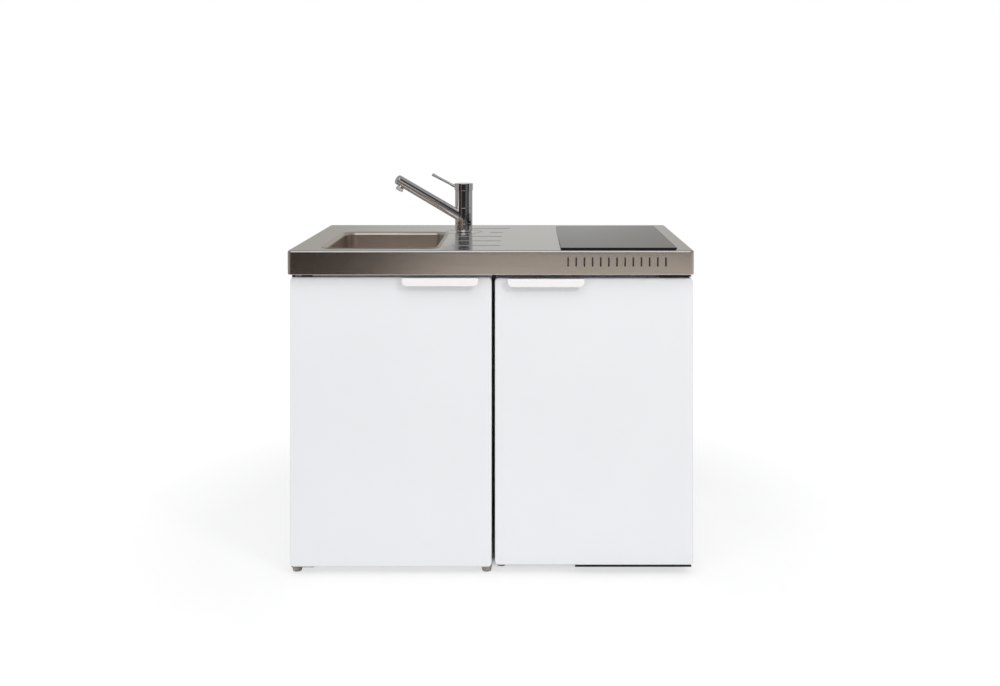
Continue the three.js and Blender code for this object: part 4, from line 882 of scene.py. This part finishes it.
spindle = spun(foot_at, (0, 118.3), (16, 118.3), (16, 119.8), (4, 119.8), (4, 121.2), (2, 121.8),
               (0, 122), soft=0.2)
piece("spindle", spindle, ["tap_cartridge"])
print("tap body dressed")

# %% [markdown]
# The spout is a tapering tube that leaves its ring low down and rises at about thirty degrees. Its
# end is closed by a shallow dome, and the aerator hangs square to it just behind the dome: a short
# neck and an eight-sided nut.

# %% Spout
spout_rise, spout_turn = radians(30.3), radians(206.5)
out, up = cos(spout_rise), sin(spout_rise)
spout_way = Vector((out * cos(spout_turn), out * sin(spout_turn), up))
spout_down = Vector((up * cos(spout_turn), up * sin(spout_turn), -out))
spout_root = Vector(moved(foot_at, 0, 0, 38.5))
collar = spun(foot_at, (16.6, 24.8), (24.5, 24.8), (24.5, 68.4), (16.6, 68.4), (16.6, 24.8),
              soft=0.9, steps=64)
barrel = spun(spout_root, (0, 4), (15, 4), (13.5, 227), (12, 230), (8.5, 231.5), (0, 232), soft=1.5,
              direction=spout_way, steps=64)
room_above = turned(mm((0, 68.4), (24.6, 68.4), (24.6, 92), (0, 92)), foot_at, steps=64)
nozzle_root = spout_root + spout_way * (210 * MM)
neck = turned(mm((0, 10), (8.6, 10), (8.6, 15), (6.5, 15), (6.5, 13), (0, 13)),
              nozzle_root, spout_down, steps=32)
piece("spout", merged(collar, cut(barrel, room_above), neck), ["tap_spout"])
nut = spun(nozzle_root + spout_down * (15.3 * MM), (6, 0), (10.5, 0), (10.5, 9), (7, 9), (6, 7),
           (6, 0), soft=0.7, direction=spout_down, steps=8)
piece("aerator_nut", nut, ["tap_aerator"], crease=25)
print("spout reaches", metres(spout_root + spout_way * (232 * MM)))

# %% [markdown]
# ## Doors and handles
# Each door is a pressed pan with softly rounded corners and edges. The handle is a moulded hood
# screwed along the top edge: fingers reach up into it from below, which is why its lower edge
# throws a line of shadow on the door.

# %% Doors
for node, name in (("left_door", "cupboard_door"), ("fridge_door", "fridge_front")):
    door_low, door_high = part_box(node)
    pan = slab(door_low, door_high, corner=9, rim=1, foot=3, axis=1)
    piece(name, pan, [node])
    print(name, "is", metres(b - a for a, b in zip(door_low, door_high)))

# %% Handles
WALL, SLOT_END = 3.5, 12


def running_back(form, test):
    """The edges that run from front to back and whose ends both pass the test."""
    return [e for e in form.edges if all(test(v.co) for v in e.verts)
            and abs(e.verts[0].co.y - e.verts[1].co.y) > 10 * MM]


for node, name in (("left_handle", "left_grip"), ("fridge_handle", "fridge_grip")):
    grip_low, grip_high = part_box(node)
    hood = slab(grip_low, grip_high)
    round_off(hood, running_back(hood, lambda co: co.z < grip_low[2] + NEAR), 12, 8)
    round_off(hood, running_back(hood, lambda co: co.z > grip_high[2] - NEAR), 1.5, 3)
    nose = [e for e in hood.edges if all(v.co.y < grip_low[1] + NEAR for v in e.verts)]
    round_off(hood, nose, 4.5, 6)
    room = slab(moved(grip_low, WALL, WALL, WALL), moved(grip_high, -WALL, -WALL / 2, -WALL),
                corner=8.5, axis=1)
    half_up = (*grip_high[:2], (grip_low[2] + grip_high[2]) / 2)
    slot = slab(moved(grip_low, SLOT_END, WALL, -1), moved(half_up, -SLOT_END, -WALL / 2, 0))
    piece(name, cut(cut(hood, room), slot), [node])
print("handles done")

# %% [markdown]
# ## Hinge brackets and feet
# The brackets are bent from strip and only peep out above and below the doors. Their black enamel
# is partly their coat and partly painted shade: it darkens them as the shade in those narrow gaps
# would. A small round on every edge makes them look cut from thick sheet. The feet are moulded
# cones with a neck above, each on a stud.

# %% Brackets and feet
# The brackets keep black_enamel from their slot; that black is partly painted shade for the gaps.
for node in ("left_hinge_top", "left_hinge_bottom", "fridge_hinge_top", "fridge_hinge_bottom"):
    soft_copy(node.replace("hinge", "bracket"), node, 0.5)
for node in [n for n in frame["nodes"] if "_foot_" in n]:
    x, y, _ = middle(node)
    foot_low, foot_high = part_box(node)
    seat = (foot_high[2] - foot_low[2]) / MM - 12
    foot = spun((x, y, 0), (0, 0), (10.6, 0), (11.2, 1.2), (13.4, seat - 6), (13.4, seat - 3),
                (10, seat - 2.4), (10, seat - 0.3), (4, seat - 0.3), (4, seat + 12), (0, seat + 12),
                steps=32)
    piece(node.replace("foot", "leveller"), foot, [node])
print("brackets and feet done")

# %% [markdown]
# ## Inside the cupboard
# The carcass is folded sheet, and its solids already have the right folds. Copies of them get a
# fine round on every edge, so that the cut edges catch the light as coated sheet does.

# %% Carcass
for panel in ("side_left", "side_right", "floor", "back", "rail", "shelf"):
    soft_copy("cupboard_" + panel, "cabinet_" + panel, 0.35)
catch = slab(*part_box("door_catch"), corner=1.5, rim=0.8, foot=0.8, axis=1)
piece("magnet_catch", catch, ["door_catch"])
lining = slab(*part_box("left_door_inner"), corner=7, rim=0.4, axis=1)
piece("door_lining", lining, ["left_door_inner"])
print("carcass done")

# %% [markdown]
# ## Inside the fridge
# The lining is one vacuum-formed sheet, so every edge of it is round. The solids have its steps and
# ribs, and a wider round on their copies gives the drawn look. The shelves are glass with a moulded
# front trim, and the bins and the crisper are clear mouldings with a rim.

# %% Fridge body and lining
soft_copy("fridge_shell", "fridge_case", 0.4)
soft_copy("fridge_lining", "fridge_liner", 0.8, 3)
soft_copy("door_form", "fridge_door_liner", 1.5, 3)
soft_copy("door_seal", "fridge_gasket", 1.2, 3)
soft_copy("ice_box", "freezer_box", 0.8, 3)
soft_copy("ice_box_flap", "freezer_flap", 0.8, 3)
soft_copy("thermostat_box", "thermostat_housing", 3, 4)
soft_copy("thermostat_dial", "thermostat_knob", 0.8, 3)
soft_copy("vegetable_drawer", "crisper", 0.7, 3)
soft_copy("bottle_bin", "door_bin_lower", 0.7, 3)
soft_copy("jar_bin", "door_bin_upper", 0.7, 3)
for node, name in (("fridge_shelf", "glass_shelf"), ("crisper_cover", "glass_cover")):
    plate_low, plate_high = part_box(node)
    piece(name, slab(plate_low, plate_high, corner=6, rim=0.6, foot=0.6), [node])
    front_edge = plate_high[0], plate_low[1], plate_high[2]
    trim = slab(moved(plate_low, 4, -3, -4), moved(front_edge, -4, 9, 2), corner=2, rim=1, foot=1)
    groove = slab(moved(plate_low, 0, -0.2, -0.2), moved(front_edge, 0, 12, 0.2))
    piece(name + "_trim", cut(trim, groove), [], surface="lining_plastic", body="unit")
print("fridge inside done")

# %% [markdown]
# ## Compressor and condenser
# Behind the fridge the compressor's can stands on rubber feet, and its warm gas rises through one
# long tube that is folded into runs. Thin wires are welded across them on one side, because a tube
# alone gives off too little heat. The tube is one sweep along its path, and the wires are turned.

# %% Compressor
comp_low, comp_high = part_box("compressor")
seat = comp_low[2]
can_at = (*middle("compressor")[:2], seat)
can = spun(can_at, (0, 10), (48, 10), (59, 18), (62, 34), (62, 76), (63.2, 76.4), (63.2, 79.6),
           (62, 80), (58, 100), (48, 122), (28, 134), (0, 138), soft=4)
plate = slab(moved(comp_low, 0, 0, 7), [*comp_high[:2], seat + 10.5 * MM], corner=10, rim=0.8)
mounts = [spun(moved(can_at, x, y, 0), (0, 0), (8, 0), (8, 2), (6, 3.5), (8, 5), (8, 8), (0, 8),
               soft=0.5) for x in (-64, 64) for y in (-34, 34)]
piece("compressor_can", merged(can, plate, *mounts), ["compressor"])
print("compressor done")

# %% Tubes that are bent
def bent(radius, *points):
    """The path through the points, with an arc of this many millimetres at each inner one."""
    reach_of = lambda back, on: radius * MM / tan(back.angle(on) / 2)
    return curved([Vector(p) for p in points], reach_of, 0.49, 6)


def tube(path, radius, resolution=3):
    """A round tube along a path, as a bmesh."""
    curve = bpy.data.curves.new("tube", "CURVE")
    curve.dimensions, curve.bevel_depth, curve.bevel_resolution = "3D", radius, resolution
    curve.use_fill_caps = True
    line = curve.splines.new("POLY")
    line.points.add(len(path) - 1)
    for point, place in zip(line.points, path):
        point.co = (*place, 1)
    holder = placed("tube", curve)
    bpy.context.view_layer.update()
    form = bmesh.new()
    form.from_mesh(holder.to_mesh())
    holder.to_mesh_clear()
    bpy.data.curves.remove(curve)
    return form


print("tube helpers ready")

# %% Condenser
RUNS, PITCH, TUBE = 8, 60 * MM, 2.4 * MM
WIRES, WIRE, WIRE_INSET, STAY_INSET = 22, 0.8 * MM, 40 * MM, 72.4 * MM
coil_low, coil_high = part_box("condenser")
case_low, case_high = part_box("fridge_case")
coil_y = case_high[1] + 14 * MM
first_z = coil_low[2] + 10 * MM
coil_path = []
for run in range(RUNS):
    z = first_z + run * PITCH
    side = -1 if run % 2 else 1
    ends = [coil_low[0] + TUBE + PITCH / 2, coil_high[0] - TUBE - PITCH / 2][::side]
    coil_path.append(Vector((ends[0], coil_y, z)))
    for angle in [pi * i / 12 for i in range(13 if run + 1 < RUNS else 1)]:
        coil_path.append(Vector((ends[1] + side * PITCH / 2 * sin(angle), coil_y,
                                 z + PITCH / 2 * (1 - cos(angle)))))
wires = []
wire_from, wire_to = coil_low[0] + WIRE_INSET, coil_high[0] - WIRE_INSET
wire = [(0, coil_low[2]), (WIRE, coil_low[2]), (WIRE, coil_high[2]), (0, coil_high[2])]
for i in range(WIRES):
    x = wire_from + (wire_to - wire_from) * i / (WIRES - 1)
    wires.append(turned(wire, (x, coil_y + TUBE + WIRE * 0.4, 0), steps=6))
stays = []
for z in (first_z, first_z + (RUNS - 1) * PITCH):
    for x in (coil_low[0] + STAY_INSET, coil_high[0] - STAY_INSET):
        stays.append(slab(moved((x, case_high[1], z), -7, 0, -4), moved((x, coil_y, z), 7, 1, 4),
                          corner=1.5, axis=1, steps=3))
piece("wire_condenser", merged(tube(coil_path, TUBE, 2), *wires, *stays), ["condenser"])
print("condenser:", RUNS, "runs,", len(wires), "wires")

# %% [markdown]
# Three copper tubes leave the can: the hot one climbs to the condenser, the cold one comes down
# from the fridge, and the short one was crimped shut after filling. They replace no solid, so they
# say themselves what they are made of and which body they ride on.

# %% Copper tubes
roof_z = case_low[2] + 178 * MM
turn_z = roof_z - 14 * MM
riser_x = coil_low[0] + 32.4 * MM
x, y, z = moved(can_at, -20, 20, 120)
hot = bent(12, (x, y, z), (x, y, turn_z), (x, coil_y, turn_z), (riser_x, coil_y, roof_z + 40 * MM),
           (riser_x, coil_y, first_z))
bend = moved(can_at, 150, 0, 110)
cold = bent(18, moved(can_at, 50, 0, 70), moved(can_at, 120, 0, 70), bend, (*bend[:2], roof_z))
crimped = bent(12, *[moved(can_at, *by) for by in ((45, -30, 60), (85, -45, 60), (105, -45, 85))])
piece("copper_tubes", merged(tube(hot, 2.4 * MM), tube(cold, 4 * MM), tube(crimped, 3 * MM)), [],
      surface="copper", body="unit")
print("copper tubes:", len(hot), len(cold), len(crimped), "points")

# %% [markdown]
# ## The floor
# The photograph is a cut-out on white. The floor is a plain pale sheet that keeps the unit's
# shadow. To the camera it is three fifths white light near the unit and all white light further
# off, and only the part under the unit stays matt.

# %% Floor
floor_form = bmesh.new()
bmesh.ops.create_grid(floor_form, x_segments=1, y_segments=1, size=3.0)
bmesh.ops.translate(floor_form, vec=(0, 1.9, -0.2 * MM), verts=floor_form.verts)
ground = placed("floor", mesh_of(floor_form, "floor"))
floor_material = bpy.data.materials.new("floor")
paper = Recipe(floor_material)
seen = paper.ray("Camera")
x, y = paper.along("X"), paper.along("Y")
far_off = (x * x + y * y).root().band(0.75, 1.6)
under = x.size().band(0.50, 0.46) * y.band(-0.23, -0.17) * y.band(0.31, 0.27)
clouds = paper.noise(2, detail=1.0)
matt = paper.add("ShaderNodeBsdfPrincipled", values={
    "Base Color": paper.between(clouds, (0.88, 0.88, 0.88), (0.90, 0.90, 0.90)), "Roughness": 0.9})
white = paper.add("ShaderNodeEmission", values={"Color": (1, 1, 1), "Strength": 1.1})
lit = seen * (0.6 + far_off * 0.4) * (1.0 - under)
mixed = paper.add("ShaderNodeMixShader", values={0: lit, 1: matt, 2: white})
paper.add("ShaderNodeOutputMaterial", values={"Surface": mixed})
ground.data.materials.append(floor_material)
ground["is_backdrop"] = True
print("floor laid")

# %% [markdown]
# ## The studio round it
# The world is white for the camera and through glass, and an even grey for all soft light. Only
# mirrors see a studio. Looking forwards they meet upright panels round a dark room, a soft box and
# a grey ceiling above them, and a narrow window low at the right. Looking down they meet a room of
# its own, beige at the far left, dark brown up to the middle and bright from there, which shades
# the apron. Looking back they meet a pale wall. Panels go by their bearing, in degrees to the
# right of the camera, and bands by how far a ray points up, down or aside.

# %% World
world = bpy.data.worlds.new("studio")
bpy.context.scene.world = world
sky = Recipe(world)
way = sky.add("ShaderNodeTexCoord", output="Generated")
way_x, way_y, way_z = [sky.add("ShaderNodeSeparateXYZ", values={0: way}, output=axis)
                       for axis in range(3)]
turn = way_x.maths("ARCTAN2", way_x, way_y * -1.0) / (2 * pi) + 0.5


def panels(*edges):
    """Panels round the studio from (bearing, grey or colour), with an even change between them."""
    stops = [(0.5 + bearing / 360, shade if isinstance(shade, tuple) else (shade,) * 3)
             for bearing, shade in edges]
    return sky.add("ShaderNodeValToRGB", {"stops": stops}, {"Fac": turn})


def sector(first, last, soft):
    """1 between two bearings and 0 outside them, with a change that is soft degrees wide."""
    begin, end, edge = 0.5 + first / 360, 0.5 + last / 360, soft / 360
    return turn.band(begin - edge / 2, begin + edge / 2) * turn.band(end + edge / 2, end - edge / 2)


DARK, ROSY, BEIGE = 0.022, (0.15, 0.095, 0.09), (0.33, 0.295, 0.265)
BROWN, BRIGHT, PALE = (0.030, 0.013, 0.005), (0.74, 0.64, 0.55), (0.62, 0.54, 0.465)
WINDOW, SOFT_BOX = (2.4, 2.35, 2.35), (1.0, 0.98, 0.96)
CEILING, SIDES = (0.30, 0.29, 0.295), (0.34, 0.33, 0.33)
WALL_TOP, WALL_FOOT, WALL_SIDES = (0.50, 0.495, 0.48), (0.66, 0.66, 0.65), (0.43, 0.415, 0.385)
SOFT_LIGHT = (0.62, 0.625, 0.64)
room = panels((-180, 0.22), (-66, 0.22), (-60, DARK), (-38, DARK), (-35, ROSY), (-24, ROSY),
              (-21, DARK), (25, DARK), (29, 0.12), (53, 0.12), (57, DARK), (96, DARK), (102, 0.24),
              (180, 0.30))
apron_room = panels((-180, BEIGE), (-48, BEIGE), (-22, BROWN), (-6.4, BROWN), (-5.4, BRIGHT),
                    (-3, BRIGHT), (0, PALE), (180, PALE))
low_down = way_z.band(-0.112, -0.120)
front = sky.between(low_down, room, apron_room)
window = sector(78, 92, 2) * way_z.band(-0.14, -0.125) * way_z.band(0.005, -0.01)
front = sky.between(window, front, WINDOW)
front = sky.between(way_z.band(0.40, 0.46), front, CEILING)
front = sky.between(sector(-30, 24, 6) * way_z.band(0.22, 0.28), front, SOFT_BOX)
beside = sky.between(low_down, SIDES, apron_room)
above = sky.between(way_y.band(-0.30, -0.15), front, beside)
wall = sky.between(way_z.band(0.104, 0.116), WALL_FOOT, WALL_TOP)
wall = sky.between(way_x.size().band(0.05, 0.17), wall, WALL_SIDES)
mirrored = sky.between(way_y.band(0.60, 0.85) * way_z.band(0.42, 0.26), above, wall)
print("studio drawn")

# %% Who sees what
glossy, straight, through_glass = [sky.ray(k) for k in ("Glossy", "Camera", "Transmission")]
soft = sky.between(glossy, SOFT_LIGHT, mirrored)
shown = sky.between((straight + through_glass).clamped(), soft, (1, 1, 1))
backdrop = sky.add("ShaderNodeBackground", values={"Color": shown, "Strength": 1.0})
sky.add("ShaderNodeOutputWorld", values={"Surface": backdrop})
print("world ready")

# %% [markdown]
# ## Lamps
# Four area lamps light what is not a mirror: a wide one overhead, a weak one at the front left, one
# low down at the left, and a small strong one at the front right that draws the shadows. Mirrors
# don't see them, since the studio has bright panels of its own.

# %% Lamps
LAMPS_AIM = Vector((0, 0, 0.6))


def lamp(name, place, size, power):
    light = bpy.data.lights.new(name, "AREA")
    light.shape, light.size, light.size_y, light.energy = "RECTANGLE", size[0], size[1], power
    made = placed(name, light)
    made.location = place
    made.rotation_euler = (LAMPS_AIM - Vector(place)).to_track_quat("-Z", "Y").to_euler()
    made.visible_glossy = False


lamp("overhead", (0.0, -1.5, 3.0), (2.4, 1.2), 19)
lamp("front_left", (-1.6, -2.3, 2.3), (1.6, 1.6), 5)
lamp("low_fill", (-2.0, -2.8, 0.76), (0.9, 0.5), 6.5)
lamp("key", (1.7, -2.3, 2.3), (0.5, 0.5), 21)

# %% [markdown]
# ## Sizes, then done
# The finished model must measure what the solids measure, so both boxes are printed.

# %% Finish
final_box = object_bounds()
print("solids:", [metres(c) for c in cad_box])
print("dressed:", [metres(c) for c in final_box])
